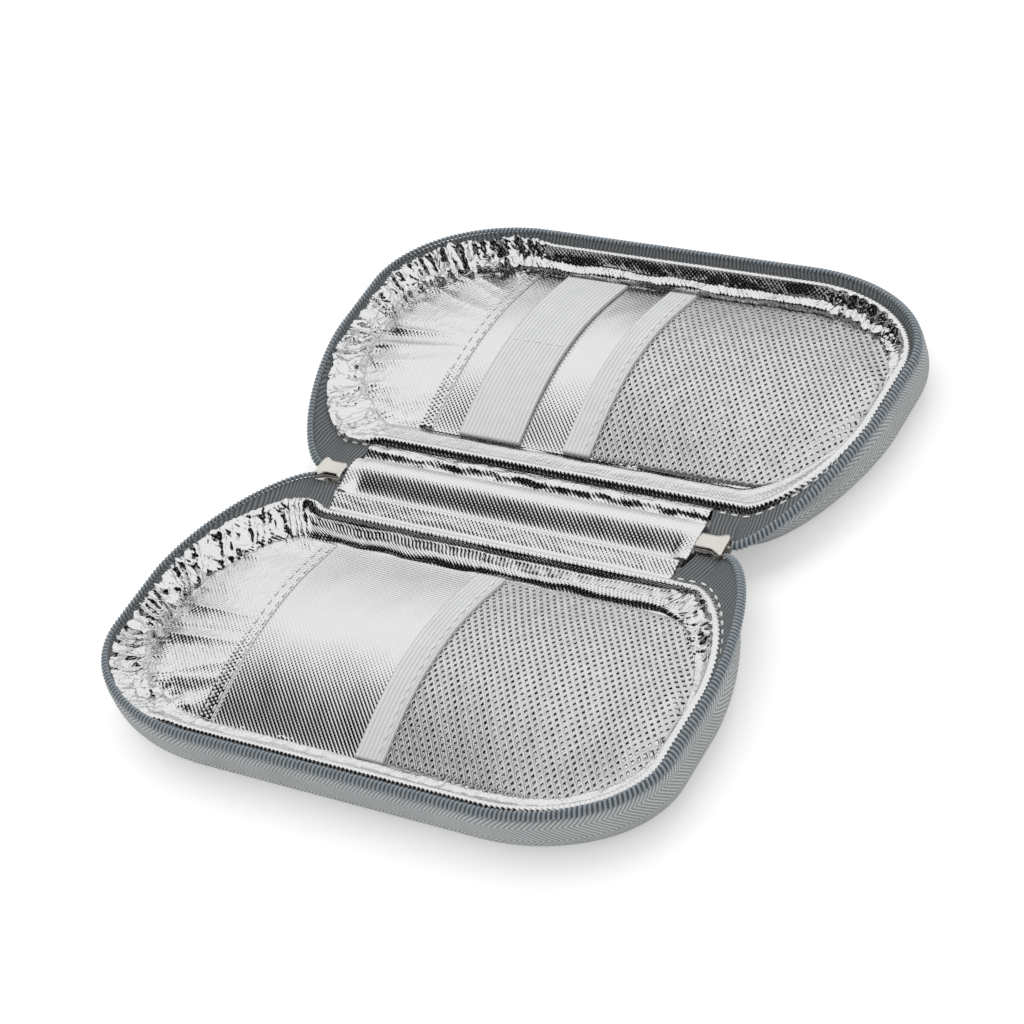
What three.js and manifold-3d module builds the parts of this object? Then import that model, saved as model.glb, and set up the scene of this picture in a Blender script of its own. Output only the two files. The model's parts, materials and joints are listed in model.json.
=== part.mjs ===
// Insulin cooling case, open and lying flat. Units are millimetres, +Z is up.
// X runs along the spine. Y runs across it, from the lower tray (-Y) to the upper tray (+Y).
// The origin is on the surface that the case lies on, under the middle of the spine.
import * as THREE from 'three';
import Module from 'manifold-3d';
import { mergeVertices } from 'three/addons/utils/BufferGeometryUtils.js';

const wasm = await Module();
wasm.setup();

// Driving sizes of the whole case
const zipHalfLength = 99.5; // spine middle to the zip's centre line at either end
const zipFarReach = 112.5; // spine centre line to the zip's centre line on the far side
const hingeHeight = 12; // height of both folds of the spine above the surface
const hingeOffset = 8; // fold lines to the spine's centre line, so the spine is twice this wide
const spineHalfLength = 61; // half the length of the straight part of the spine
const clearance = 0.3; // gap between neighbouring pieces
const nearCornerPower = 1.25; // 1 draws a quarter of an ellipse, more draws a flatter corner

// A folded case closes where the two zips meet, this high above the surface
const closingHeight = hingeHeight + hingeOffset;

// Sliders' length and the moulded stop behind each of them, which set where the zips begin
const sliderLength = 9.8;
const zipStopLength = 3.4;
const zipStart = spineHalfLength + zipStopLength + clearance + sliderLength + clearance;

// Shells
const shellWall = 3;
const shellOutset = 1.5; // widest outline outside the zip's centre line
const shellEdgeRadius = 11; // rounded edge between wall and base
const shellFarCornerLength = 51.5;
const shellFarCornerDepth = 35;
const shellNearCornerDepth = 52;
const shellCornerStart = 13; // the near corners begin this far past the spine's ends
const shellRimDrop = 3.4; // rim below the height where the case closes
const shellSpineRimDrop = 0.7; // rim below the fold line
const shellRimRoll = 0.8; // how far the rim's edges are eased
const rimRiseShare = 0.95; // share of a near corner over which the rim climbs

// Zips
const coilWidth = 3;
const coilThickness = 2.4;
const zipNearCornerDepth = 56;
const zipFarCornerLength = 50;
const zipFarCornerDepth = 33.5;
const zipEndReach = 2; // spine centre line to the coil's end at a slider
const zipEndRise = 0.4; // coil's end above the fold line
const tapeThickness = 0.8;
const tapeDrop = 1.5; // tape's inner edge below the liner's lip

// Foil liners
const foilThickness = 0.6;
const lipEndInset = 4; // lip inside the zip's centre line
const lipFarInset = 3.6;
const lipNearInset = 7.5; // lip past the fold line
const lipCornerStart = 10; // past the spine's ends
const lipNearCornerDepth = 40;
const lipFarCornerLength = 46;
const lipFarCornerDepth = 30;
const lipDrop = 3.6; // lip below the height where the case closes
const lipSpineRise = 2.2; // lip above the fold line, along the spine
const lipBead = 1.2;
const wallEndRun = 5.5; // how far the liner's wall slopes in, from lip to foot
const wallFarRun = 8;
const wallNearRun = 10.5;
const footCornerStart = 2; // past the spine's ends
const footNearCornerDepth = 34;
const footFarCornerLength = 41;
const footFarCornerDepth = 27;
const footDrop = 1.8; // foot of the wall below the fold line
const floorRise = 4; // crown of the liner's floor

// Insulation pads
const padEdgeInset = 11.5; // pad's side inside the shell's widest outline

// Pockets, bands and gel packs
const pocketThickness = 0.5;
const pocketMouthInset = 33.5; // mouth of the lower pocket from the floor's left end
const upperPocketMouthInset = 37.5;
const pocketEndInset = 4;
const pocketMargin = 0.8; // pocket's edges inside the foot of the wall
const gelMouthInset = 5; // gel pack behind the upper pocket's mouth
const gelEndInset = 24;
const gelEdgeShare = 0.12; // margin on either side, as a share of the floor's width
const elasticInset = 15; // elastic band behind the upper pocket's mouth
const elasticWidth = 23;
const bindingInset = 16; // mesh binding past the elastic band
const bindingWidth = 10;
const bandThickness = 0.8;
const meshThickness = 0.5;
const meshBar = 1.6;
const meshColumns = 9;
const meshRows = 9;
const meshEndInset = 6;

// Spine
const spineGap = 0.35; // spine's long edges to the fold lines
const spineCoverDrop = 2.4; // underside of the cover's edges below the fold line
const spineCoverThickness = 1;
const spinePadThickness = 0.6;
const spinePanelThickness = 0.6;
const spineCrown = 1;
const hingeStripDrop = 0.9; // hinge strip's edge below the liner's lip

// Sliders, their pull tabs and the zips' ends
const sliderFrontWidth = 8.6;
const sliderRearWidth = 6.4;
const sliderPlate = 1;
const sliderRunningGap = 0.4; // between a plate and the zip in its channel
const sliderPost = 1.6;
const bailLength = 6.4;
const bailWidth = 2.4;
const bailWall = 1;
const bailOpening = 2.2;
const tabLength = 20;
const tabWidth = 7;
const tabThickness = 1;
const tabEyeWidth = 3.4;
const tabEyeLength = 4.6;
const tabEndRadius = 2.4;
const tabGroundGap = 0.3;
const zipEndWidth = 5.4;
const zipEndInSlider = 3.2;
const shoulderShare = 0.6; // slider's widest place, from its middle to its front

// Counts of facets
const cornerSteps = 7;
const coilCornerSteps = 10;
const coilSides = 8;
const edgeSteps = 3;
const acrossSteps = 10; // over the floor, from the spine side to the far side
const pocketSteps = 11;
const gelSteps = [8, 6];
const spineSteps = [4, 6];
const postSides = 8;
const curveSteps = 4;
const floorRingShares = [0.8, 0.55, 0.28]; // rings of the crowned floors, from the foot inwards
const wallShare = 0.5; // ring of the liner's wall between its foot and its lip

// Colours from the case: gray twill, blue gray nylon, foil, pale elastic and nickel
const finishes = {
  twill: { color: 0xa0a6a8, roughness: 0.85, metalness: 0 },
  tape: { color: 0x8a9093, roughness: 0.8, metalness: 0 },
  coil: { color: 0x6f7d85, roughness: 0.45, metalness: 0 },
  foil: { color: 0xd9dbdc, roughness: 0.25, metalness: 0.9 },
  net: { color: 0xa9acae, roughness: 0.5, metalness: 0.2 },
  elastic: { color: 0xcacccb, roughness: 0.8, metalness: 0 },
  nickel: { color: 0xc9c3b8, roughness: 0.3, metalness: 1 },
  foam: { color: 0xe9e9e6, roughness: 0.9, metalness: 0 },
  gel: { color: 0xbfd6e4, roughness: 0.4, metalness: 0 },
};

// Heights
const zipEndHeight = hingeHeight + zipEndRise;
const coilHeight = closingHeight - clearance - coilThickness / 2;
const shellRimHeight = closingHeight - shellRimDrop;
const shellSpineRimHeight = hingeHeight - shellSpineRimDrop;
const lipHeight = closingHeight - lipDrop;
const lipSpineHeight = hingeHeight + lipSpineRise;
const footHeight = hingeHeight - footDrop;
const spineCoverHeight = hingeHeight - spineCoverDrop;

// The pocket's crown rises until the bands on it are just under the height where the case closes
const pocketStack = clearance + pocketThickness + clearance + bandThickness + clearance;
const pocketRise = closingHeight - pocketStack - footHeight;

// An outline of a tray, given by its reaches and its two kinds of corners
const shellOutline = {
  half: zipHalfLength + shellOutset,
  near: hingeOffset,
  far: zipFarReach + shellOutset,
  nearLength: zipHalfLength + shellOutset - spineHalfLength - shellCornerStart,
  nearDepth: shellNearCornerDepth,
  farLength: shellFarCornerLength,
  farDepth: shellFarCornerDepth,
};
const zipOutline = {
  half: zipHalfLength,
  near: zipEndReach,
  far: zipFarReach,
  nearLength: zipHalfLength - zipStart,
  nearDepth: zipNearCornerDepth,
  farLength: zipFarCornerLength,
  farDepth: zipFarCornerDepth,
};
const lipHalfLength = zipHalfLength - lipEndInset;
const lipOutline = {
  half: lipHalfLength,
  near: hingeOffset + lipNearInset,
  far: zipFarReach - lipFarInset,
  nearLength: lipHalfLength - spineHalfLength - lipCornerStart,
  nearDepth: lipNearCornerDepth,
  farLength: lipFarCornerLength,
  farDepth: lipFarCornerDepth,
};
const footHalfLength = lipHalfLength - wallEndRun;
const footOutline = {
  half: footHalfLength,
  near: lipOutline.near + wallNearRun,
  far: lipOutline.far - wallFarRun,
  nearLength: footHalfLength - spineHalfLength - footCornerStart,
  nearDepth: footNearCornerDepth,
  farLength: footFarCornerLength,
  farDepth: footFarCornerDepth,
};
const floorMiddle = (footOutline.near + footOutline.far) / 2;

// Places of the pockets and bands along the floor
const pocketEnd = footHalfLength - pocketEndInset;
const pocketMouth = pocketMouthInset - footHalfLength;
const upperPocketMouth = upperPocketMouthInset - footHalfLength;
const gelStart = upperPocketMouth + gelMouthInset;
const gelEnd = footHalfLength - gelEndInset;
const elasticStart = upperPocketMouth + elasticInset;
const bindingStart = elasticStart + elasticWidth + bindingInset;
const meshEnd = footHalfLength - meshEndInset;

// An outline drawn in by a distance. A corner eases with it and never closes up
function inset(outline, distance) {
  const eased = (size) => size ** 2 / (size + distance);
  return {
    half: outline.half - distance,
    near: outline.near + distance,
    far: outline.far - distance,
    nearLength: eased(outline.nearLength),
    nearDepth: eased(outline.nearDepth),
    farLength: eased(outline.farLength),
    farDepth: eased(outline.farDepth),
  };
}

function between(first, second, share) {
  const mixed = {};
  for (const key of Object.keys(first)) {
    mixed[key] = first[key] + (second[key] - first[key]) * share;
  }
  return mixed;
}

function shrink(outline, share) {
  const middle = (outline.near + outline.far) / 2;
  return {
    half: outline.half * share,
    near: middle + (outline.near - middle) * share,
    far: middle + (outline.far - middle) * share,
    nearLength: outline.nearLength * share,
    nearDepth: outline.nearDepth * share,
    farLength: outline.farLength * share,
    farDepth: outline.farDepth * share,
  };
}

// Half of an outline, from the spine side to the far side: reach across, turn is 0 to 1 in a near corner
function halfOutline(outline, steps) {
  const points = [];
  for (let i = 0; i <= steps; i += 1) {
    const angle = (i / steps) * (Math.PI / 2);
    points.push({
      x: outline.half - outline.nearLength * (1 - Math.sin(angle) ** nearCornerPower),
      reach: outline.near + outline.nearDepth * (1 - Math.cos(angle) ** nearCornerPower),
      turn: i / steps,
    });
  }
  for (let i = 0; i <= steps; i += 1) {
    const angle = (i / steps) * (Math.PI / 2);
    points.push({
      x: outline.half - outline.farLength * (1 - Math.cos(angle)),
      reach: outline.far - outline.farDepth * (1 - Math.sin(angle)),
      turn: 1,
    });
  }
  return points;
}

// The open run round three sides, from the right end of the spine to its left end
function openRun(outline, steps) {
  const right = halfOutline(outline, steps);
  const left = right.map((point) => ({ ...point, x: -point.x })).reverse();
  return [...right, ...left];
}

// 0 on the spine side, 1 past the climb of the rim
function climb(turn, share) {
  const t = Math.min(turn / share, 1);
  return t * t * (3 - 2 * t);
}

// How far the floor is raised at a place, from 0 at the foot of the wall to 1 at the middle
function crown(x, reach) {
  const span = spanAt(footOutline, x);
  const across = Math.min(Math.max((reach - span.near) / (span.far - span.near), 0), 1);
  const along = Math.min(Math.abs(x) / footHalfLength, 1);
  return 4 * across * (1 - across) * (1 - along ** 3);
}

// Reach of an outline's near and far sides at one place along the spine
function spanAt(outline, x) {
  const distance = Math.min(Math.abs(x), outline.half);
  const intoNear = Math.max(distance - (outline.half - outline.nearLength), 0) / outline.nearLength;
  const intoFar = Math.max(distance - (outline.half - outline.farLength), 0) / outline.farLength;
  const nearSlope = Math.max(1 - intoNear ** (2 / nearCornerPower), 0) ** (nearCornerPower / 2);
  return {
    near: outline.near + outline.nearDepth * (1 - nearSlope),
    far: outline.far - outline.farDepth * (1 - Math.sqrt(Math.max(1 - intoFar ** 2, 0))),
  };
}

const floorHeight = (x, reach) => footHeight + floorRise * crown(x, reach);
const pocketHeight = (x, reach) => footHeight + clearance + pocketRise * crown(x, reach);
const overPocket = (x, reach) => pocketHeight(x, reach) + pocketThickness + clearance;

// A closed solid from points and triangles. Side is -1 for the lower tray and 1 for the upper one
function solid(points, triangles, side) {
  const positions = [];
  for (const point of points) {
    positions.push(point.x, side * point.reach, point.z);
  }
  const index = [];
  for (const [a, b, c] of triangles) {
    index.push(...(side > 0 ? [a, b, c] : [a, c, b]));
  }
  const geometry = new THREE.BufferGeometry();
  geometry.setAttribute('position', new THREE.Float32BufferAttribute(positions, 3));
  geometry.setIndex(index);
  return geometry;
}

// Skins a stack of rings with equal counts of points and closes both ends with fans
function ringStack(rings, side) {
  const points = rings.flat();
  const count = rings[0].length;
  const triangles = [];
  for (let r = 0; r < rings.length - 1; r += 1) {
    for (let i = 0; i < count; i += 1) {
      const a = r * count + i;
      const b = r * count + ((i + 1) % count);
      triangles.push([a, b, b + count], [a, b + count, a + count]);
    }
  }
  for (const [start, turned] of [[0, true], [(rings.length - 1) * count, false]]) {
    const ring = points.slice(start, start + count);
    const middle = points.length;
    const sum = ring.reduce((total, point) => total + point.reach, 0);
    points.push({ x: 0, reach: sum / count, z: ring[0].capHeight ?? ring[0].z });
    for (let i = 0; i < count; i += 1) {
      const next = start + ((i + 1) % count);
      triangles.push(turned ? [middle, next, start + i] : [middle, start + i, next]);
    }
  }
  return solid(points, triangles, side);
}

// A closed ring of an outline, with its height as a number or as a function of the point
function ring(outline, height) {
  return openRun(outline, cornerSteps).map((point) => ({
    ...point,
    z: typeof height === 'function' ? height(point) : height,
  }));
}

// A strip skinned over sections of equal counts of points, closed at both ends
function strip(sections, side) {
  const points = sections.flat();
  const count = sections[0].length;
  const triangles = [];
  for (let s = 0; s < sections.length - 1; s += 1) {
    for (let i = 0; i < count; i += 1) {
      const a = s * count + i;
      const b = s * count + ((i + 1) % count);
      triangles.push([a, b, b + count], [a, b + count, a + count]);
    }
  }
  const last = (sections.length - 1) * count;
  for (let i = 1; i < count - 1; i += 1) {
    triangles.push([0, i + 1, i], [last, last + i, last + i + 1]);
  }
  return solid(points, triangles, side);
}

// A sheet over a grid of places. Cells where keep is false stay open, so a net is a sheet too
function sheet(xs, shares, outline, bottom, top, side, keep = () => true) {
  const points = [];
  const rows = shares.length;
  for (const x of xs) {
    const span = spanAt(outline, x);
    for (const share of shares) {
      const reach = span.near + (span.far - span.near) * share;
      points.push({ x, reach, z: bottom(x, reach) }, { x, reach, z: top(x, reach) });
    }
  }
  const at = (i, j) => 2 * (i * rows + j);
  const kept = (i, j) => i >= 0 && j >= 0 && i < xs.length - 1 && j < rows - 1 && keep(i, j);
  const triangles = [];
  const wall = (a, b) => triangles.push([a, b, b + 1], [a, b + 1, a + 1]);
  for (let i = 0; i < xs.length - 1; i += 1) {
    for (let j = 0; j < rows - 1; j += 1) {
      if (kept(i, j)) {
        const [a, b, c, d] = [at(i, j), at(i + 1, j), at(i + 1, j + 1), at(i, j + 1)];
        triangles.push([a, c, b], [a, d, c], [a + 1, b + 1, c + 1], [a + 1, c + 1, d + 1]);
        if (!kept(i, j - 1)) wall(a, b);
        if (!kept(i + 1, j)) wall(b, c);
        if (!kept(i, j + 1)) wall(c, d);
        if (!kept(i - 1, j)) wall(d, a);
      }
    }
  }
  return usedPoints(solid(points, triangles, side));
}

// Leaves out the points that no triangle uses
function usedPoints(geometry) {
  return mergeVertices(geometry.toNonIndexed());
}

function steps(from, to, count) {
  return Array.from({ length: count + 1 }, (_, i) => from + ((to - from) * i) / count);
}

function makeMesh(name, geometry, finish) {
  const mesh = new THREE.Mesh(geometry, new THREE.MeshStandardMaterial(finishes[finish]));
  mesh.name = name;
  return mesh;
}

// Boolean joins and cuts
function toManifold(geometry) {
  const bare = geometry.clone();
  bare.deleteAttribute('normal');
  bare.deleteAttribute('uv');
  const merged = mergeVertices(bare);
  return new wasm.Manifold(new wasm.Mesh({
    numProp: 3,
    vertProperties: new Float32Array(merged.attributes.position.array),
    triVerts: new Uint32Array(merged.index.array),
  }));
}

function fromManifold(manifold) {
  const result = manifold.getMesh();
  const geometry = new THREE.BufferGeometry();
  geometry.setAttribute('position', new THREE.Float32BufferAttribute(result.vertProperties, 3));
  geometry.setIndex(Array.from(result.triVerts));
  return geometry;
}

// Shell: a moulded cup with a rounded base edge, its rim lower along the spine
const rimHeight = (point) => (
  shellSpineRimHeight + (shellRimHeight - shellSpineRimHeight) * climb(point.turn, rimRiseShare)
);

function makeShell(side) {
  const rings = [];
  const edge = (radius, wall, angle) => ({
    outline: inset(shellOutline, wall + radius * (1 - Math.cos(angle))),
    z: wall + radius * (1 - Math.sin(angle)),
  });
  const angles = steps(Math.PI / 2, 0, edgeSteps);
  for (const angle of angles) {
    const at = edge(shellEdgeRadius, 0, angle);
    rings.push(ring(at.outline, at.z));
  }
  rings.push(ring(shellOutline, (point) => rimHeight(point) - shellRimRoll));
  rings.push(ring(inset(shellOutline, shellRimRoll), rimHeight));
  rings.push(ring(inset(shellOutline, shellWall), rimHeight));
  for (const angle of [...angles].reverse()) {
    const at = edge(shellEdgeRadius - shellWall, shellWall, angle);
    rings.push(ring(at.outline, at.z));
  }
  return ringStack(rings, side);
}

// Insulation: a foam pad on the shell's floor, crowned under the liner
function makePad(side) {
  const outline = inset(shellOutline, padEdgeInset);
  const under = (point) => floorHeight(point.x, point.reach) - foilThickness - clearance;
  const edgeHeight = footHeight - foilThickness - clearance;
  const rings = [
    ring(outline, shellWall + clearance),
    ring(outline, edgeHeight),
    ring(footOutline, edgeHeight),
  ];
  for (const share of floorRingShares) {
    rings.push(ring(shrink(footOutline, share), under));
  }
  return ringStack(capAt(rings, under), side);
}

// Gives the cap of one ring, the last unless told, its own height at the middle of the floor
function capAt(rings, height, which = rings.length - 1) {
  rings[which][0].capHeight = height({ x: 0, reach: floorMiddle });
  return rings;
}

// Liner: a thin foil tray with a rolled lip, a sloping wall and a crowned floor
const lipTop = (point) => (
  lipSpineHeight + (lipHeight - lipSpineHeight) * climb(point.turn, rimRiseShare)
);

function makeLiner(side) {
  const inner = inset(lipOutline, lipBead);
  const wall = between(footOutline, inner, wallShare);
  const wallHeight = (point) => footHeight + (lipTop(point) - footHeight) * wallShare;
  const floor = (drop) => (point) => floorHeight(point.x, point.reach) - drop;
  const floorRings = (drop) => capAt(
    floorRingShares.map((share) => ring(shrink(footOutline, share), floor(drop))),
    floor(drop),
  );
  const rings = [
    ...capAt(floorRings(foilThickness).reverse(), floor(foilThickness), 0),
    ring(inset(footOutline, -foilThickness / 2), footHeight - foilThickness),
    ring(inset(wall, -foilThickness), wallHeight),
    ring(lipOutline, (point) => lipTop(point) - lipBead),
    ring(inset(lipOutline, lipBead / 2), lipTop),
    ring(inner, (point) => lipTop(point) - lipBead / 2),
    ring(wall, wallHeight),
    ring(footOutline, footHeight),
    ...floorRings(0),
  ];
  return ringStack(rings, side);
}

// Zip: the coil runs round three sides and dips to the sliders at the spine's ends
const coilCentre = (point) => zipEndHeight + (coilHeight - zipEndHeight) * climb(point.turn, rimRiseShare);

// Level direction from a run's point towards the inside of the tray
function inwards(run, i) {
  const before = run[Math.max(i - 1, 0)];
  const after = run[Math.min(i + 1, run.length - 1)];
  const length = Math.hypot(after.x - before.x, after.reach - before.reach);
  return { x: -(after.reach - before.reach) / length, reach: (after.x - before.x) / length };
}

function makeCoil(side) {
  const run = openRun(zipOutline, coilCornerSteps);
  const corners = Array.from({ length: coilSides }, (_, i) => ((i + 0.5) / coilSides) * 2 * Math.PI);
  const rim = 1 / Math.cos(Math.PI / coilSides);
  const sections = run.map((point, i) => {
    const normal = inwards(run, i);
    return corners.map((angle) => [Math.cos(angle) * rim, Math.sin(angle) * rim]).map(([across, up]) => ({
      x: point.x + (normal.x * across * coilWidth) / 2,
      reach: point.reach + (normal.reach * across * coilWidth) / 2,
      z: coilCentre(point) + (up * coilThickness) / 2,
    }));
  });
  return strip(sections, side);
}

// Zip tape: a woven band from the coil down to the liner's lip, wide as a gusset at the spine's corners
function makeTape(side) {
  const outer = openRun(zipOutline, cornerSteps);
  const inner = openRun(inset(lipOutline, -clearance), cornerSteps);
  const start = coilWidth / 2 + clearance;
  const sections = outer.map((point, i) => {
    const normal = inwards(outer, i);
    const high = { x: point.x + normal.x * start, reach: point.reach + normal.reach * start };
    const highZ = coilCentre(point) + tapeThickness / 2;
    const low = inner[i];
    const lowZ = lipTop(low) - tapeDrop;
    return [
      { ...low, z: lowZ },
      { ...high, z: highZ },
      { ...high, z: highZ - tapeThickness },
      { ...low, z: lowZ - tapeThickness },
    ];
  });
  return strip(sections, side);
}

// Foil pocket, and what lies in it and on it
const acrossShares = steps(0, 1, acrossSteps);
const pocketOutline = inset(footOutline, pocketMargin);

function makeFoilPocket(mouth, side) {
  const top = (x, reach) => pocketHeight(x, reach) + pocketThickness;
  const xs = steps(mouth, pocketEnd, pocketSteps);
  return sheet(xs, acrossShares, pocketOutline, pocketHeight, top, side);
}

function makeGelPack(side) {
  const bottom = (x, reach) => floorHeight(x, reach) + clearance;
  const top = (x, reach) => pocketHeight(x, reach) - clearance;
  const xs = steps(gelStart, gelEnd, gelSteps[0]);
  const shares = steps(gelEdgeShare, 1 - gelEdgeShare, gelSteps[1]);
  return sheet(xs, shares, footOutline, bottom, top, side);
}

function makeBand(start, width, side) {
  const top = (x, reach) => overPocket(x, reach) + bandThickness;
  return sheet([start, start + width], acrossShares, pocketOutline, overPocket, top, side);
}

// Net: bars round square gaps, from the binding to the end of the floor
function barLines(from, to, count, bar) {
  const pitch = (to - from - bar) / count;
  return Array.from({ length: count + 1 }, (_, i) => [from + i * pitch, from + i * pitch + bar]).flat();
}

function makeNet(side) {
  const start = bindingStart + bindingWidth + clearance;
  const width = pocketOutline.far - pocketOutline.near;
  const xs = barLines(start, meshEnd, meshColumns, meshBar);
  const shares = barLines(0, 1, meshRows, meshBar / width);
  const top = (x, reach) => overPocket(x, reach) + meshThickness;
  const isBar = (i, j) => i % 2 === 0 || j % 2 === 0;
  return sheet(xs, shares, pocketOutline, overPocket, top, side, isBar);
}

// Hinge strip: crumpled foil between the liner's lip and the fold line
function makeHingeStrip(side) {
  const from = { reach: hingeOffset + foilThickness + clearance, z: hingeHeight };
  const to = { reach: lipOutline.near - clearance, z: lipSpineHeight - hingeStripDrop };
  const sections = [-spineHalfLength, spineHalfLength].map((x) => [
    { x, reach: from.reach, z: from.z },
    { x, reach: to.reach, z: to.z },
    { x, reach: to.reach, z: to.z + foilThickness },
    { x, reach: from.reach, z: from.z + foilThickness },
  ]);
  return strip(sections, side);
}

// Spine: cover outside, padding, and the crowned foil panel inside
const spineHalfWidth = hingeOffset - spineGap;
const spineOutline = {
  half: spineHalfLength,
  near: -spineHalfWidth,
  far: spineHalfWidth,
  nearLength: clearance,
  nearDepth: clearance,
  farLength: clearance,
  farDepth: clearance,
};

function makeSpineLayer(level, thickness) {
  const bottom = (x, reach) => level + spineCrown * (1 - (reach / spineHalfWidth) ** 2);
  const top = (x, reach) => bottom(x, reach) + thickness;
  const end = spineHalfLength - clearance;
  const xs = steps(-end, end, spineSteps[0]);
  return sheet(xs, steps(0, 1, spineSteps[1]), spineOutline, bottom, top, 1);
}

// Slider: two plates round the zip, a post between its channels, and a bail for the pull tab
const sliderCentre = zipStart - clearance - sliderLength / 2;
const channelHalf = coilThickness / 2 + sliderRunningGap;
const bailTop = zipEndHeight - channelHalf - sliderPlate;
const tabAxisHeight = bailTop - bailOpening / 2;

function plateShape() {
  const front = sliderLength / 2;
  const shoulder = front * shoulderShare;
  const shape = new THREE.Shape();
  shape.moveTo(-front, -sliderRearWidth / 2);
  shape.lineTo(0, -sliderRearWidth / 2);
  shape.quadraticCurveTo(shoulder, -sliderRearWidth / 2, shoulder, -sliderFrontWidth / 2);
  shape.lineTo(front, -sliderFrontWidth / 2 + sliderPlate);
  shape.lineTo(front, sliderFrontWidth / 2 - sliderPlate);
  shape.lineTo(shoulder, sliderFrontWidth / 2);
  shape.quadraticCurveTo(shoulder, sliderRearWidth / 2, 0, sliderRearWidth / 2);
  shape.lineTo(-front, sliderRearWidth / 2);
  return shape;
}

function extruded(shape, depth) {
  return new THREE.ExtrudeGeometry(shape, { depth, bevelEnabled: false, curveSegments: curveSteps });
}

function makeSlider() {
  const plate = plateShape();
  const upperPlate = extruded(plate, sliderPlate).translate(0, 0, channelHalf);
  const lowerPlate = extruded(plate, sliderPlate).translate(0, 0, -channelHalf - sliderPlate);
  const postHeight = 2 * channelHalf + sliderPlate;
  const post = new THREE.CylinderGeometry(sliderPost / 2, sliderPost / 2, postHeight, postSides)
    .rotateX(Math.PI / 2).translate(sliderLength / 4, 0, 0);
  const arch = new THREE.Shape();
  const reach = bailOpening + bailWall;
  arch.moveTo(-bailLength / 2, sliderPlate / 2);
  arch.lineTo(-bailLength / 2, -bailOpening);
  arch.quadraticCurveTo(-bailLength / 2, -reach, -bailLength / 2 + bailOpening, -reach);
  arch.lineTo(bailLength / 2 - bailOpening, -reach);
  arch.quadraticCurveTo(bailLength / 2, -reach, bailLength / 2, -bailOpening);
  arch.lineTo(bailLength / 2, sliderPlate / 2);
  arch.lineTo(bailLength / 2 - bailWall, sliderPlate / 2);
  arch.lineTo(bailLength / 2 - bailWall, -bailOpening);
  arch.lineTo(-bailLength / 2 + bailWall, -bailOpening);
  arch.lineTo(-bailLength / 2 + bailWall, sliderPlate / 2);
  const bail = extruded(arch, bailWidth).rotateX(Math.PI / 2)
    .translate(0, bailWidth / 2, -channelHalf - sliderPlate);
  const body = toManifold(upperPlate).add(toManifold(lowerPlate)).add(toManifold(post)).add(toManifold(bail));
  return fromManifold(body);
}

// Pull tab: a flat plate with an eye, whose end bar passes through the bail
const tabTilt = Math.asin((tabAxisHeight - tabGroundGap - tabThickness / 2) / tabLength);

function makePullTab() {
  const shape = new THREE.Shape();
  const half = tabWidth / 2;
  shape.moveTo(tabThickness / 2, -half);
  shape.lineTo(tabThickness / 2, half);
  shape.lineTo(-tabLength + tabEndRadius, half);
  shape.quadraticCurveTo(-tabLength, half, -tabLength, half - tabEndRadius);
  shape.lineTo(-tabLength, -half + tabEndRadius);
  shape.quadraticCurveTo(-tabLength, -half, -tabLength + tabEndRadius, -half);
  const eye = new THREE.Path();
  eye.moveTo(-tabThickness / 2, -tabEyeWidth / 2);
  eye.lineTo(-tabEyeLength, -tabEyeWidth / 2);
  eye.lineTo(-tabEyeLength, tabEyeWidth / 2);
  eye.lineTo(-tabThickness / 2, tabEyeWidth / 2);
  shape.holes.push(eye);
  return extruded(shape, tabThickness).translate(0, 0, -tabThickness / 2).rotateY(-tabTilt);
}

// Zip end: the two coils joined for good, with the moulded stop at the spine's end
function makeZipEnd() {
  const start = spineHalfLength;
  const stop = start + zipStopLength;
  const inside = stop + clearance + zipEndInSlider;
  const shape = new THREE.Shape();
  const half = zipEndWidth / 2;
  const stopHalf = sliderRearWidth / 2;
  shape.moveTo(start, -stopHalf);
  shape.lineTo(stop, -stopHalf);
  shape.lineTo(stop, -half);
  shape.lineTo(inside, -half);
  shape.lineTo(inside, half);
  shape.lineTo(stop, half);
  shape.lineTo(stop, stopHalf);
  shape.lineTo(start, stopHalf);
  return extruded(shape, coilThickness).translate(0, 0, zipEndHeight - coilThickness / 2);
}

const group = new THREE.Group();

// The two trays
for (const [name, side] of [['lower', -1], ['upper', 1]]) {
  const tray = new THREE.Group();
  const mouth = side < 0 ? pocketMouth : upperPocketMouth;
  tray.add(makeMesh(`${name}_shell`, makeShell(side), 'twill'));
  tray.add(makeMesh(`${name}_insulation`, makePad(side), 'foam'));
  tray.add(makeMesh(`${name}_liner`, makeLiner(side), 'foil'));
  tray.add(makeMesh(`${name}_zip_coil`, makeCoil(side), 'coil'));
  tray.add(makeMesh(`${name}_zip_tape`, makeTape(side), 'tape'));
  tray.add(makeMesh(`${name}_hinge_strip`, makeHingeStrip(side), 'foil'));
  tray.add(makeMesh(`${name}_gel_pack`, makeGelPack(side), 'gel'));
  tray.add(makeMesh(`${name}_foil_pocket`, makeFoilPocket(mouth, side), 'foil'));
  tray.add(makeMesh(`${name}_mesh_pocket`, makeNet(side), 'net'));
  tray.add(makeMesh(`${name}_mesh_binding`, makeBand(bindingStart, bindingWidth, side), 'elastic'));
  if (side > 0) {
    tray.add(makeMesh(`${name}_elastic_band`, makeBand(elasticStart, elasticWidth, side), 'elastic'));
  }
  group.add(tray);
}

// The spine's layers
const padLevel = spineCoverHeight + spineCoverThickness + clearance;
const panelLevel = padLevel + spinePadThickness + clearance;
group.add(makeMesh('spine_cover', makeSpineLayer(spineCoverHeight, spineCoverThickness), 'twill'));
group.add(makeMesh('spine_padding', makeSpineLayer(padLevel, spinePadThickness), 'foam'));
group.add(makeMesh('spine_panel', makeSpineLayer(panelLevel, spinePanelThickness), 'foil'));

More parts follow.
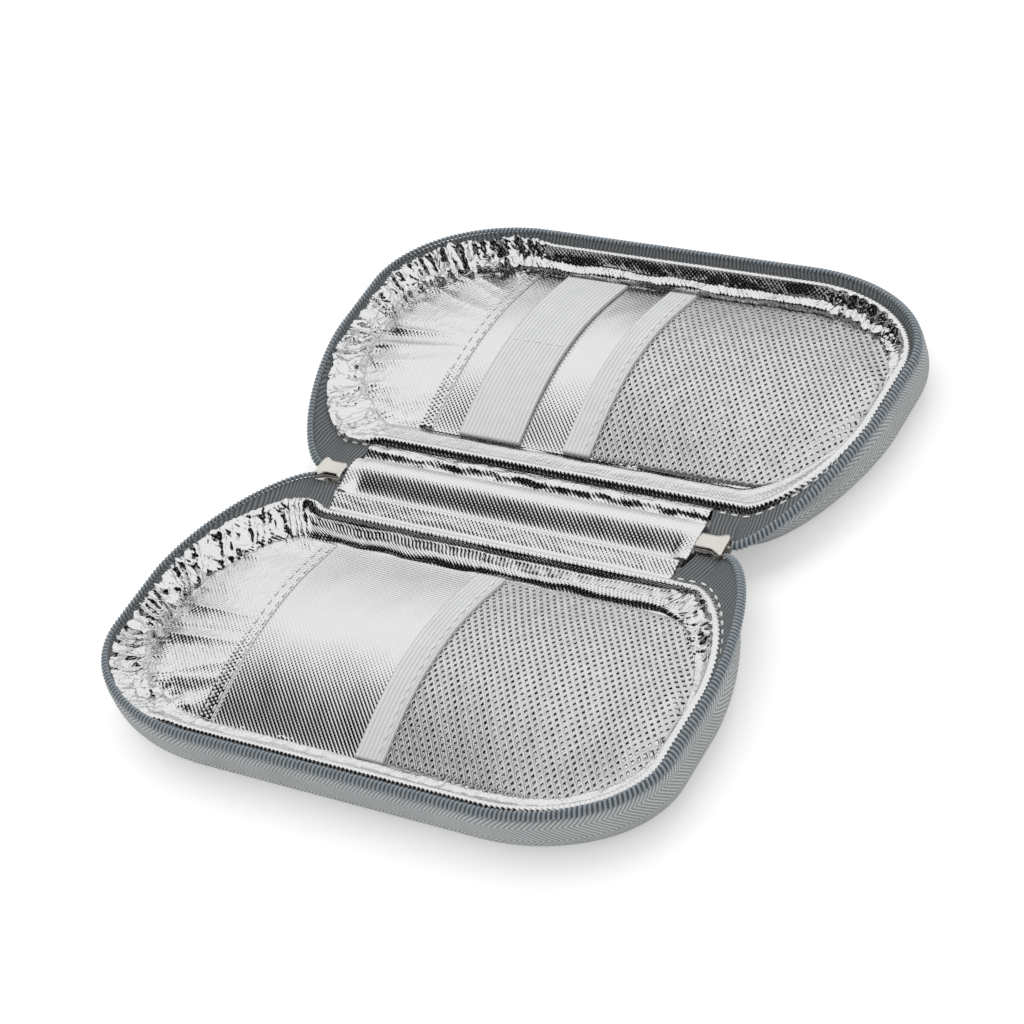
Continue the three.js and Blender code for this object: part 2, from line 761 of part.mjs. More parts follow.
// A slider, its pull tab and the zip's end at either end of the spine
for (const [name, turn] of [['right', 0], ['left', Math.PI]]) {
  const end = new THREE.Group();
  end.rotation.z = turn;
  const slider = makeMesh(`${name}_slider`, makeSlider(), 'nickel');
  slider.position.set(sliderCentre, 0, zipEndHeight);
  const tab = makeMesh(`${name}_pull_tab`, makePullTab(), 'nickel');
  tab.position.set(sliderCentre, 0, tabAxisHeight);
  end.add(slider, tab, makeMesh(`${name}_zip_end`, makeZipEnd(), 'coil'));
  group.add(end);
}

export default group;
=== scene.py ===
import json
from math import asin, copysign, cos, exp, pi, radians, sin, sqrt
import bpy
import bmesh
from mathutils import Matrix, Vector, noise


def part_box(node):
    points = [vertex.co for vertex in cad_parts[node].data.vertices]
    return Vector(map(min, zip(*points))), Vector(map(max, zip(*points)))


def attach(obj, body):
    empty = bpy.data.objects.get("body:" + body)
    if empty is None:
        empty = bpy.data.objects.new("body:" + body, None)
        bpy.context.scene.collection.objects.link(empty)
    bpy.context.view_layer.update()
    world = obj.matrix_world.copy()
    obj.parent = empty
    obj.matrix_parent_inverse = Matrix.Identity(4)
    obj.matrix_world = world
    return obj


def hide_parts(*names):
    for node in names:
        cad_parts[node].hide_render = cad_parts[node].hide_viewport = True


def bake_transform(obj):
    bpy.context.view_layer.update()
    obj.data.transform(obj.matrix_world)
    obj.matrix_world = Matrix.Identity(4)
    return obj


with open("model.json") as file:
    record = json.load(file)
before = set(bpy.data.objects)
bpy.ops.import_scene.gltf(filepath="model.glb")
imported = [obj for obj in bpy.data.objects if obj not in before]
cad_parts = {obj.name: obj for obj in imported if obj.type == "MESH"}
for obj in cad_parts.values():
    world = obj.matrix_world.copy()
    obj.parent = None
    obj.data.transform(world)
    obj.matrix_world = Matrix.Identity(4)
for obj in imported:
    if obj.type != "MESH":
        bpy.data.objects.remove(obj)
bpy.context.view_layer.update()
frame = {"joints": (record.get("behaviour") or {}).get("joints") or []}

mm = 0.001  # the pieces are worked out in millimetres and made in metres
fullTurn = 2 * pi
up = Vector((0, 0, 1))

view = {
    "azimuth": 45.35,
    "elevation": 41.37,
    "roll": -22.54,
    "distance": 993.5,
    "aim": (-10.59, 8.38, 0),
    "sensor": 36,
    "focal": 3203 / 1024 * 36,  # 3203 pixels in a picture 1024 wide
    "nearest": 0.05,
}


def placeObject(name, data):
    made = bpy.data.objects.new(name, data)
    bpy.context.scene.collection.objects.link(made)
    return made


def meshObject(name, bm, material):
    mesh = bpy.data.meshes.new(name)
    bm.to_mesh(mesh)
    bm.free()
    mesh.materials.append(material)
    return placeObject(name, mesh)


def makeCamera():
    azimuth, elevation = radians(view["azimuth"]), radians(view["elevation"])
    back = Vector((
        sin(azimuth) * cos(elevation),
        -cos(azimuth) * cos(elevation),
        sin(elevation),
    ))
    turn = (
        Matrix.Rotation(azimuth, 4, "Z")
        @ Matrix.Rotation(pi / 2 - elevation, 4, "X")
        @ Matrix.Rotation(radians(view["roll"]), 4, "Z")
    )
    data = bpy.data.cameras.new("camera")
    data.lens = view["focal"]
    data.sensor_width = view["sensor"]
    data.clip_start = view["nearest"]
    camera = placeObject("camera", data)
    place = (Vector(view["aim"]) + back * view["distance"]) * mm
    camera.matrix_world = Matrix.Translation(place) @ turn
    bpy.context.scene.camera = camera


# Shader maths on sockets
class Maths:
    def __init__(self, finish, socket):
        self.finish = finish
        self.socket = socket

    def __add__(self, other):
        return self.finish.number("ADD", self, other)

    def __sub__(self, other):
        return self.finish.number("SUBTRACT", self, other)

    def __rsub__(self, other):
        return self.finish.number("SUBTRACT", other, self)

    def __mul__(self, other):
        return self.finish.number("MULTIPLY", self, other)


class Finish:
    def __init__(self, name, slot=None, tree=None):
        self.slot = slot
        if tree is None:
            self.material = bpy.data.materials.new(name)
            self.material.use_nodes = True
            tree = self.material.node_tree
        self.nodes = tree.nodes
        self.links = tree.links
        self.shader = self.nodes.get("Principled BSDF")

    def feed(self, socket, value):
        if isinstance(value, Maths):
            value = value.socket
        if isinstance(value, bpy.types.NodeSocket):
            self.links.new(value, socket)
        else:
            socket.default_value = value

    def node(self, kind, settings=None, inputs=None):
        made = self.nodes.new(kind)
        for name, value in (settings or {}).items():
            setattr(made, name, value)
        for name, value in (inputs or {}).items():
            self.feed(made.inputs[name], value)
        return made

    def read(self, output, kind, settings=None, inputs=None):
        return Maths(self, self.node(kind, settings, inputs).outputs[output])

    def number(self, operation, *values):
        return self.read(0, "ShaderNodeMath", {"operation": operation}, dict(enumerate(values)))

    def apart(self, vector):
        made = self.node("ShaderNodeSeparateXYZ", None, {0: vector})
        return [Maths(self, socket) for socket in made.outputs]

    def chart(self):
        return self.apart(self.node("ShaderNodeUVMap", {"uv_map": "cloth"}).outputs["UV"])[:2]

    def place(self):
        return self.node("ShaderNodeTexCoord").outputs["Object"]

    def clouds(self, scale, detail):
        inputs = {"Vector": self.place(), "Scale": scale, "Detail": detail}
        return self.read("Fac", "ShaderNodeTexNoise", None, inputs)

    def cells(self, scale):
        return self.read("Distance", "ShaderNodeTexVoronoi", None, {"Vector": self.place(), "Scale": scale})

    def ribs(self, value, length):
        return self.number("SINE", value * (fullTurn / length)) * 0.5 + 0.5

    def rise(self, value, low, high):
        inputs = {"Value": value, "From Min": low, "From Max": high}
        return self.read("Result", "ShaderNodeMapRange", {"interpolation_type": "SMOOTHSTEP"}, inputs)

    def mix(self, share, first, second):
        made = self.node("ShaderNodeMix", {"data_type": "RGBA"}, {0: share, 6: (*first, 1), 7: (*second, 1)})
        return made.outputs[2]

    def bump(self, height, depth, before=None):
        inputs = {"Height": height, "Distance": depth * mm, "Strength": 1.0}
        if before is not None:
            inputs["Normal"] = before
        return self.node("ShaderNodeBump", None, inputs).outputs["Normal"]

    def weave(self, facts, shade, height):
        colour = self.mix(shade, facts["dark"], facts["light"])
        self.set(baseColor=colour, roughness=facts["roughness"], normal=self.bump(height, facts["depth"]))

    def set(self, **values):
        for name, value in values.items():
            label = "".join(" " + c if c.isupper() else c for c in name).replace("Ior", "IOR")
            self.feed(self.shader.inputs[label[0].upper() + label[1:]], value)


# Shell cloth: twill in herringbone rows. The chart gives millimetres along and across the rows
twill = {
    "row": 5.4, "line": 1.45, "depth": 0.28, "roughness": 0.82,
    "light": (0.84, 0.86, 0.87), "dark": (0.17, 0.183, 0.192),
}


def twillFinish(name):
    finish = Finish(name, "twill")
    along, across = finish.chart()
    zigzag = finish.number("PINGPONG", across, twill["row"])
    ridge = finish.ribs(along + zigzag, twill["line"])
    thread = finish.ribs(along - zigzag, twill["line"] * 0.5)
    height = ridge * 0.8 + thread * 0.2 + finish.clouds(1500, 2) * 0.25
    shade = ridge * 0.62 + thread * 0.3 + finish.clouds(45, 4) * 0.25 - 0.08
    finish.weave(twill, shade, height)
    finish.set(sheenWeight=0.15, sheenRoughness=0.5)
    return finish


# Foil: bright aluminised film, embossed with a lattice of small bumps that are rubbed dull
foil = {
    "pitch": 1.5, "depth": 0.085, "colour": (0.81, 0.812, 0.816), "darker": 0.95,
    "roughness": 0.14, "dull": 0.22, "dots": (0.2, 0.75), "folds": 420.0,
}


def foilFinish(name, crease=0.0):
    finish = Finish(name, "foil")
    wave = fullTurn / foil["pitch"]
    along, across = (finish.number("SINE", way * wave) for way in finish.chart())
    dimple = along * across
    normal = finish.bump(dimple * 0.5 + 0.5, foil["depth"])
    if crease:
        normal = finish.bump(finish.cells(foil["folds"]), crease, normal)
    rough = finish.clouds(60, 3) * 0.1 + foil["roughness"] - 0.05
    rough = rough + finish.rise(dimple, *foil["dots"]) * foil["dull"]
    darker = [c * foil["darker"] for c in foil["colour"]]
    colour = finish.mix(finish.clouds(90, 4), darker, foil["colour"])
    finish.set(baseColor=colour, metallic=1.0, roughness=rough, normal=normal)
    return finish


# Zip tape: fine ribs along the zip, in colours darkened all over as painted shade for the shade under the
# coil
tape = {
    "rib": 1.5, "cross": 0.7, "sway": 4.0, "depth": 0.22, "roughness": 0.8,
    # painted shade: these colours are darker than the tape's own grey, standing in for the shade under the
    # coil
    "light": (0.25, 0.262, 0.27), "dark": (0.045, 0.05, 0.055),
}


def tapeFinish(name):
    finish = Finish(name, "zip_tape")
    along, across = finish.chart()
    rib = finish.ribs(along + finish.clouds(70, 2) * tape["sway"], tape["rib"])
    cross = finish.ribs(across, tape["cross"])
    shade = rib * 0.72 + cross * 0.12 + finish.clouds(500, 3) * 0.2
    finish.weave(tape, shade, rib * 0.8 + cross * 0.2)
    return finish


# Elastic: ribs along the band's length, crossed by a finer weave
elastic = {
    "rib": 0.95, "weft": 0.62, "depth": 0.09, "roughness": 0.78,
    "light": (0.95, 0.955, 0.955), "dark": (0.52, 0.53, 0.535),
}


def elasticFinish(name):
    finish = Finish(name, "elastic")
    along, across = finish.chart()
    rib = finish.ribs(across, elastic["rib"])
    weft = finish.ribs(along, elastic["weft"])
    shade = rib * 0.5 + weft * 0.25 + finish.clouds(160, 4) * 0.3
    finish.weave(elastic, shade, rib * 0.7 + weft * 0.3)
    finish.set(sheenWeight=0.1)
    return finish


foam = {
    "cells": 1200.0, "depth": 0.1, "roughness": 0.9, "light": (0.87, 0.87, 0.84), "dark": (0.7, 0.7, 0.67),
}


def foamFinish(name):
    finish = Finish(name, "foam")
    cell = finish.cells(foam["cells"])
    finish.weave(foam, cell, cell)
    return finish


# Finishes of mottled colour. Rough and grain are clouds too, with spread and least, or depth, at the end
mottled = {
    "coil": {
        "name": "zip_nylon", "slot": "coil", "clouds": (700, 3), "rough": (400, 2, 0.2, 0.28),
        "dark": (0.24, 0.28, 0.31), "light": (0.4, 0.455, 0.49), "more": {"coatWeight": 0.2},
    },
    # the core's dark grey is painted shade, so that the gaps between the coil's turns read dark
    "core": {
        "name": "zip_core_painted_shade", "slot": "coil", "clouds": (900, 2),
        "dark": (0.06, 0.07, 0.08), "light": (0.14, 0.155, 0.17), "more": {"roughness": 0.8},
    },
    "net": {
        "name": "silver_net", "slot": "net", "clouds": (260, 4), "rough": (300, 2, 0.15, 0.26),
        "grain": (3000, 2, 0.05), "dark": (0.56, 0.565, 0.575), "light": (0.88, 0.885, 0.89),
        "more": {"metallic": 0.85},
    },
    "nickel": {
        "name": "nickel_plating", "slot": "nickel", "clouds": (120, 3), "rough": (500, 4, 0.14, 0.12),
        "grain": (900, 3, 0.02), "dark": (0.6, 0.57, 0.53), "light": (0.78, 0.75, 0.71),
        "more": {"metallic": 1.0},
    },
    "thread": {
        "name": "sewing_thread", "slot": "elastic", "clouds": (1800, 2),
        "dark": (0.82, 0.82, 0.81), "light": (0.96, 0.96, 0.95), "more": {"roughness": 0.6},
    },
    "gel": {
        "name": "gel_film", "slot": "gel", "clouds": (40, 3), "rough": (90, 3, 0.2, 0.2),
        "dark": (0.42, 0.62, 0.75), "light": (0.62, 0.78, 0.86), "more": {"coatWeight": 0.4},
    },
}


def mottledFinish(facts):
    finish = Finish(facts["name"], facts["slot"])
    colour = finish.mix(finish.clouds(*facts["clouds"]), facts["dark"], facts["light"])
    finish.set(baseColor=colour, **facts["more"])
    if "rough" in facts:
        scale, detail, spread, least = facts["rough"]
        finish.set(roughness=finish.clouds(scale, detail) * spread + least)
    if "grain" in facts:
        scale, detail, depth = facts["grain"]
        finish.set(normal=finish.bump(finish.clouds(scale, detail), depth))
    return finish


finishes = {
    "twill": twillFinish("shell_twill"),
    "foil": foilFinish("embossed_foil"),
    "gathered": foilFinish("gathered_foil", 0.08),
    "tape": tapeFinish("woven_tape_painted_shade"),
    "elastic": elasticFinish("ribbed_elastic"),
    "foam": foamFinish("closed_cell_foam"),
    **{key: mottledFinish(facts) for key, facts in mottled.items()},
}
print("finishes made")


# Outlines of a tray. Sizes come from the frame, and corners from the same curves as the moulding
def reaches(node):
    low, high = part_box(node)
    reach = {"half": high.x, "near": -high.y, "far": -low.y, "top": high.z, "low": low.z}
    return {key: value / mm for key, value in reach.items()}


shellBox = reaches("lower_shell")
coilBox = reaches("lower_zip_coil")
linerBox = reaches("lower_liner")
joints = {joint["name"]: joint for joint in frame["joints"]}
fold = {"reach": joints["lid_fold"]["pos_m"][1] / mm, "height": joints["lid_fold"]["pos_m"][2] / mm}

shape = {
    "cornerPower": 1.25,
    "rimRise": 0.95,
    "coilWidth": 3.0,
    "coilHeight": 2.4,
    "zipEndReach": 2.0,
    "zipStart": 74.8,
    "footHeight": linerBox["low"] + 0.6,
    "footIn": {"half": 5.5, "near": 10.5, "far": 8.0},
    "lipRise": 2.2,
    "lipOut": 0.8,  # the soft lip stands a little proud of its solid
    "lipUp": 0.9,
    "floorRise": 4.0,
    "crownPower": 1.5,
    "shoulderPower": 1.2,
    "shoulderShare": 0.52,
    "pocketLift": 0.3,
    "pocketRise": 7.2,
    "endRise": 3.1,
    "endStart": (64, 90),
    "endAtSides": 0.35,
}
zipEndHeight = fold["height"] + 0.4
coilLevel = coilBox["top"] - shape["coilHeight"] / 2


# Length and depth of the corners beside the spine, then of those at the far side
def outline(half, near, far, *corners):
    line = dict(zip(("nearLength", "nearDepth", "farLength", "farDepth"), corners))
    return {**line, "half": half, "near": near, "far": far}


shellEdge = outline(shellBox["half"], fold["reach"], shellBox["far"], shellBox["half"] - 74, 52, 51.5, 35)
zipHalf, zipFar = (coilBox[key] - shape["coilWidth"] / 2 for key in ("half", "far"))
zipLine = outline(zipHalf, shape["zipEndReach"], zipFar, zipHalf - shape["zipStart"], 56, 50, 33.5)
lipLine = outline(linerBox["half"], linerBox["near"], linerBox["far"], linerBox["half"] - 71, 40, 46, 30)
lipLine["half"] += shape["lipOut"]
lipLine["far"] += shape["lipOut"]
footHalf = linerBox["half"] - shape["footIn"]["half"]
footNear, footFar = linerBox["near"] + shape["footIn"]["near"], linerBox["far"] - shape["footIn"]["far"]
footLine = outline(footHalf, footNear, footFar, footHalf - 63, 34, 41, 27)
# where an outline turns, from 0 to 1 over half of it
turns = {"near": 0.29, "end": 0.475, "far": 0.565, "last": 0.8}


def inset(line, distance):
    less = {key: line[key] ** 2 / (line[key] + distance) for key in line if key.endswith(("Length", "Depth"))}
    less.update(half=line["half"] - distance, near=line["near"] + distance, far=line["far"] - distance)
    return less


def shrink(line, share):
    middle = (line["near"] + line["far"]) / 2
    less = {key: line[key] * share for key in line}
    less.update({key: between(middle, line[key], share) for key in ("near", "far")})
    return less


def between(low, high, share):
    return low + (high - low) * share


def shareOf(low, high, value):
    return min(max((value - low) / (high - low), 0), 1)


def smooth(low, high, value):
    t = shareOf(low, high, value)
    return t * t * (3 - 2 * t)


def swell(x, y, z):
    return noise.noise(Vector((x, y, z)))


def halfWay(q):
    return 2 * min(q, 1 - q)  # 0 in the middle of the spine side, 1 in the middle of the far side


def onOutline(line, q):
    r = halfWay(q)
    power = shape["cornerPower"]
    if r < turns["near"]:
        x, reach = r / turns["near"] * (line["half"] - line["nearLength"]), line["near"]
    elif r < turns["end"]:
        angle = shareOf(turns["near"], turns["end"], r) * pi / 2
        x = line["half"] - line["nearLength"] * (1 - sin(angle) ** power)
        reach = line["near"] + line["nearDepth"] * (1 - max(cos(angle), 0) ** power)
    elif r < turns["far"]:
        low, high = line["near"] + line["nearDepth"], line["far"] - line["farDepth"]
        x, reach = line["half"], between(low, high, shareOf(turns["end"], turns["far"], r))
    elif r < turns["last"]:
        angle = shareOf(turns["far"], turns["last"], r) * pi / 2
        x = line["half"] - line["farLength"] * (1 - cos(angle))
        reach = line["far"] - line["farDepth"] * (1 - sin(angle))
    else:
        x = (1 - r) / (1 - turns["last"]) * (line["half"] - line["farLength"])
        reach = line["far"]
    return Vector((x if q <= 0.5 else -x, reach, 0))


def outward(line, q, step):
    here, ahead = onOutline(line, q), onOutline(line, (q + step) % 1)
    return here, Vector((ahead.y - here.y, here.x - ahead.x, 0)).normalized()


def climb(q):
    return smooth(0, shape["rimRise"], shareOf(turns["near"], turns["end"], halfWay(q)))


def spanAt(line, x):
    distance = min(abs(x), line["half"])
    power = shape["cornerPower"]
    intoNear = max(distance - (line["half"] - line["nearLength"]), 0) / line["nearLength"]
    intoFar = max(distance - (line["half"] - line["farLength"]), 0) / line["farLength"]
    near = line["near"] + line["nearDepth"] * (1 - max(1 - intoNear ** (2 / power), 0) ** (power / 2))
    far = line["far"] - line["farDepth"] * (1 - sqrt(max(1 - intoFar ** 2, 0)))
    return near, max(far, near + 0.01)


def crown(x, reach):
    across = shareOf(*spanAt(footLine, x), reach)
    along = min(abs(x) / footLine["half"], 1)
    dome = max(sin(across * pi), 0) ** shape["crownPower"]
    shoulder = (1 - abs(2 * across - 1) ** 3) ** shape["shoulderPower"]
    return between(dome, shoulder, shape["shoulderShare"]) * (1 - along ** 3)


def floorHeight(x, reach):
    return shape["footHeight"] + shape["floorRise"] * crown(x, reach)


def pocketHeight(x, reach):
    across = shareOf(*spanAt(footLine, x), reach)
    sides = between(shape["endAtSides"], 1, smooth(0, 0.3, min(across, 1 - across)))
    rise = shape["endRise"] * smooth(*shape["endStart"], x) * sides
    return shape["footHeight"] + shape["pocketLift"] + shape["pocketRise"] * crown(x, reach) + rise


def lipTop(q):
    return between(fold["height"] + shape["lipRise"], linerBox["top"] + shape["lipUp"], climb(q))


def coilCentre(q):
    return between(zipEndHeight, coilLevel, climb(q))


def spline(points, t):
    k = min(int(t), len(points) - 2)
    u = t - k
    a, b = points[max(k - 1, 0)], points[k]
    c, d = points[k + 1], points[min(k + 2, len(points) - 1)]
    bend, twist = 2 * a - 5 * b + 4 * c - d, 3 * b - a - 3 * c + d
    return 0.5 * (2 * b + (c - a) * u + bend * u ** 2 + twist * u ** 3)


# Making pieces
def finishPiece(name, bm, finish, body, nodes=()):
    piece = meshObject(name, bm, finishes[finish].material)
    piece.data.transform(Matrix.Scale(mm, 4))
    piece.data.polygons.foreach_set("use_smooth", [True] * len(piece.data.polygons))
    if isinstance(body, str):
        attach(piece, body)
    else:
        [c * mm for c in body[2]]
        [c * mm for c in body[3]]
        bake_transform(piece)
    if nodes:
        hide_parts(*nodes)
    return piece


def gridPiece(columns, rows, place, chart, closed=False, capped=False):
    bm = bmesh.new()
    cloth = bm.loops.layers.uv.new("cloth")
    bmesh.ops.create_grid(bm, x_segments=columns, y_segments=rows, size=1, calc_uvs=True)
    for face in bm.faces:
        for loop in face.loops:
            loop[cloth].uv = chart(*loop[cloth].uv)
    for vert in bm.verts:
        vert.co = place((vert.co.x + 1) / 2, (vert.co.y + 1) / 2)
    if closed or capped:
        bmesh.ops.remove_doubles(bm, verts=bm.verts, dist=0.002)
        if capped:
            bmesh.ops.holes_fill(bm, edges=[e for e in bm.edges if e.is_boundary], sides=0)
        bmesh.ops.recalc_face_normals(bm, faces=bm.faces)
    return bm


def flatChart(length, width):
    return lambda s, t: (s * length, t * width)


def squared(value, sharp):
    return max(min(value * sharp, 1), -1)


def sided(side, point):
    return Vector((point[0], side * point[1], point[2]))


def faceUp(bm):
    bm.normal_update()
    face = max(bm.faces, key=lambda f: f.calc_area())
    if face.normal.dot(up) < 0:
        bmesh.ops.reverse_faces(bm, faces=bm.faces)


def runningSums(points):
    sums = [0]
    for a, b in zip(points, points[1:]):
        sums.append(sums[-1] + (b - a).length)
    return sums


def evenPath(path, count=1200):
    points = [path(i / count) for i in range(count + 1)]
    sums = runningSums(points)

    def at(distance):
        low, high = 0, count
        while high - low > 1:
            middle = (low + high) // 2
            if sums[middle] <= distance:
                low = middle
            else:
                high = middle
        u = (distance - sums[low]) / max(sums[high] - sums[low], 1e-9)
        return points[low].lerp(points[high], u), (points[high] - points[low]).normalized()

    return at, sums[-1]


trays = {"lower": -1, "upper": 1}  # each tray's side of the spine
bodies = {"lower": "lower_tray", "upper": "upper_tray"}
ends = {"right": 1, "left": -1}


def foldEnds(name, near, far):
    side = trays[name]
    start, end = (0, side * near, fold["height"]), (0, side * far, fold["height"])
    if side < 0:
        return ("lower_tray", "spine", end, start)
    return ("spine", "upper_tray", start, end)


# Shell: moulded foam with twill on it, a rounded edge and a turned rim
shell = {
    "wall": 3.0, "edge": 11.0, "spineRim": 11.3, "farRim": shellBox["top"] + 0.7,
    "columns": 360, "edgeRows": 8,
}
# rings of the turned rim: millimetres in from the edge, millimetres below the rim
rimRings = [(2.6, 0.1), (1.9, 0.0), (0.9, 0.1), (0.25, 0.7), (0.0, 1.6)]


def rimTop(q):
    return between(shell["spineRim"], shell["farRim"], climb(q))


def edgeRings(start, steps):
    deep = shell["edge"] - start
    for angle in steps:
        z = start + deep * (1 - cos(angle))
        yield inset(shellEdge, start + deep * (1 - sin(angle))), lambda q, z=z: z


def shellRings():
    edge, wall, lowest = shell["edge"], shell["wall"], rimRings[-1][1]
    steps = [i / shell["edgeRows"] * pi / 2 for i in range(shell["edgeRows"] + 1)]
    base, inner = inset(shellEdge, edge), inset(shellEdge, wall)
    rings = [(shrink(base, share), lambda q: wall) for share in (0.02, 0.5)]
    rings += edgeRings(wall, steps)
    rings += [(inner, lambda q, s=share: edge + (rimTop(q) - edge) * s) for share in (0.5, 0.85)]
    rings += [(inset(shellEdge, inward), lambda q, d=drop: rimTop(q) - d) for inward, drop in rimRings]
    rings += [(shellEdge, lambda q, s=share: edge + (rimTop(q) - lowest - edge) * s) for share in (0.65, 0.3)]
    rings += edgeRings(0.0, reversed(steps))
    # the repeated ring parts the chart of the sides from the underside's
    rings += [(shrink(base, share), lambda q: 0.0) for share in (0.985, 0.985, 0.6, 0.02)]
    return rings


def makeShell(name):
    rings = shellRings()
    last = len(rings) - 1

    def ringPoint(s, k):
        line, height = rings[k]
        point = onOutline(line, s)
        point.z = height(s)
        return point

    around = evenPath(lambda q: onOutline(shellEdge, q), 200)[1]
    drops = runningSums([ringPoint(0.5, k) for k in range(last + 1)])

    def place(s, t):
        return sided(trays[name], ringPoint(s, round(t * last)))

    def chart(s, t):
        k = round(t * last)
        if k > last - 3:
            return onOutline(rings[k][0], s)[:2]
        return s * around, drops[k]

    bm = gridPiece(shell["columns"], last, place, chart, capped=True)
    finishPiece(name + "_shell_cover", bm, "twill", bodies[name], [name + "_shell"])


for name in trays:
    makeShell(name)
print("shells made")


# Insulation and gel packs, which the liners and pockets cover
pads = {
    "columns": 96, "inset": 11.5, "bottom": shell["wall"] + 0.3, "side": (0.8, 8.6, 9.2), "underFloor": 2.6,
    "gelStart": -47.5, "gelEnd": 66.0, "gelShare": 0.12, "gelSeam": 3.0, "overFloor": 0.5, "underPocket": 0.4,
}


def makeInsulation(name):
    edge = inset(shellEdge, pads["inset"])
    corner, high, top = pads["side"]
    rings = [(shrink(edge, share), pads["bottom"]) for share in (0.02, 0.6, 0.97)]
    rings += [(edge, pads["bottom"] + corner), (edge, high), (inset(edge, 1), top)]
    rings += [(shrink(footLine, share), None) for share in (1, 0.85, 0.65, 0.4, 0.15, 0.02)]
    last = len(rings) - 1

    def place(s, t):
        line, height = rings[round(t * last)]
        point = onOutline(line, s)
        point.z = height or floorHeight(point.x, point.y) - pads["underFloor"]
        return sided(trays[name], point)

    bm = gridPiece(pads["columns"], last, place, flatChart(500, 60), capped=True)
    finishPiece(name + "_foam_pad", bm, "foam", bodies[name], [name + "_insulation"])


def makeGelPack(name):
    start, end = pads["gelStart"], pads["gelEnd"]

    def place(s, t):
        angle = t * fullTurn
        x = between(start, end, s)
        share = between(pads["gelShare"], 1 - pads["gelShare"], 0.5 - 0.5 * cos(angle))
        reach = between(*spanAt(footLine, x), share)
        edge = min((x - start) / pads["gelSeam"], (end - x) / pads["gelSeam"], 1)
        puff = max(min(abs(sin(angle)) * 3, 1) * edge, 0) ** 0.5
        low, high = floorHeight(x, reach) + pads["overFloor"], pocketHeight(x, reach) - pads["underPocket"]
        middle = (low + high) / 2
        height = middle + (high - middle) * puff * (1 if sin(angle) < 0 else -1)
        return sided(trays[name], (x, reach, height))

    bm = gridPiece(60, 40, place, flatChart(110, 130), capped=True)
    finishPiece(name + "_gel_pillow", bm, "gel", bodies[name], [name + "_gel_pack"])


for name in trays:
    makeInsulation(name)
    makeGelPack(name)
print("padding made")


# Liner: foil with a rolled lip, a stepped wall, gathers round the left end and creases on the floor there
liner = {
    "columns": 1200,
    "rows": 4,
    "floorRows": 2,
    "bead": 2.1,
    "pleat": 4.6,
    "gather": 1.35,
    "pleatRise": (0.9, 0.35),
    "pleatDepth": 0.75,
    "drift": 1.7,
    "driftSize": 9,
    "vary": 0.9,
    "varySize": 7,
    "shallow": 0.45,  # share of the gathers' depth on the bead
    "spread": 2.7,  # how far the gathered foil leans out
    "room": 1.7,  # how far it may pass the lip's line
    "crumple": 0.85,
    "crumpleRise": 0.8,
    "crease": 2.1,
    "creaseStart": 9.0,
    "creaseFade": 14.0,
    "creaseSize": (15, 50),
    "creaseFrom": (44, 62),
    "waver": 0.8,
    "waverSize": (13, 4),
    "waverRise": 0.4,
    "wrinkle": 0.3,
    "calm": 0.3,  # share of the wrinkles on the wall beside the spine
    "ripple": 0.25,
    "rippleSize": 14,
    "seed": {"lower": 3.7, "upper": 9.1},
}
# where each of these sets in and where it is full, in rings from the bead to the floor
lineRise = {"right": (3.5, 5), "deep": (1.5, 4.5), "spread": (9, 2), "wrinkle": (5, 7), "waver": (4, 7)}
# where the gathers set in and where they are full, and on the right first the most that they reach
gathers = {
    "nearSpine": 60,
    "near": (60, 70),
    "left": {"lower": (58, 74), "upper": (44, 60)},
    "right": {"lower": (0.55, (62, 74), (46, 34)), "upper": (0.5, (50, 66), (58, 76))},
}
# rings of the bead: millimetres in from the lip's line, millimetres below its top, share of the gathers
beadRings = [(-1.3, 2.2, 0.3), (-0.75, 1.5, 0.9), (0.05, 0.55, 1), (1.0, 0.05, 1), (2.1, 0.2, 1)]
# rings of the wall, in shares: way in and drop beside the spine, the same at the far side, and gathers
wallRings = [
    ((0.05, 0.10), (0.05, 0.06), 1),
    ((0.15, 0.36), (0.22, 0.28), 1),
    ((0.24, 0.42), (0.36, 0.44), 1),
    ((0.55, 0.62), (0.45, 0.54), 1),
    ((0.68, 0.66), (0.66, 0.58), 1),
    ((0.80, 0.72), (0.88, 0.64), 0.9),
    ((0.94, 0.94), (0.95, 0.86), 0.65),
    ((1.0, 1.0), (1.0, 1.0), 0.35),
]
crumples = {6.0: 1.0, 3.0: 0.55, 1.4: 0.16}  # sizes of the creases in millimetres, and how much each counts
floorRings = (0.965, 0.92, 0.86, 0.77, 0.65, 0.5, 0.32, 0.14, 0.01)
wallEnd = len(beadRings) + len(wallRings) - 1


def crumple(point, seed):
    total = 0
    for size, weight in crumples.items():
        total += weight * (1 - 3.2 * abs(noise.noise(point / size + Vector((seed, 0, seed)))))
    return total / sum(crumples.values())


def pleatAt(distance, seed):
    drift = swell(distance / liner["driftSize"], seed, 0)
    phase = distance / liner["pleat"] + liner["drift"] * drift
    vary = swell(distance / liner["varySize"], seed, 5.5)
    depth = liner["pleatDepth"] + liner["vary"] * vary
    return (1 - 4 * abs(phase % 1 - 0.5)) * depth


def gatherAt(name, x, reach):
    left = gathers["near"] if reach < gathers["nearSpine"] else gathers["left"][name]
    most, along, across = gathers["right"][name]
    return smooth(*left, -x), most * smooth(*along, x) * smooth(*across, reach)


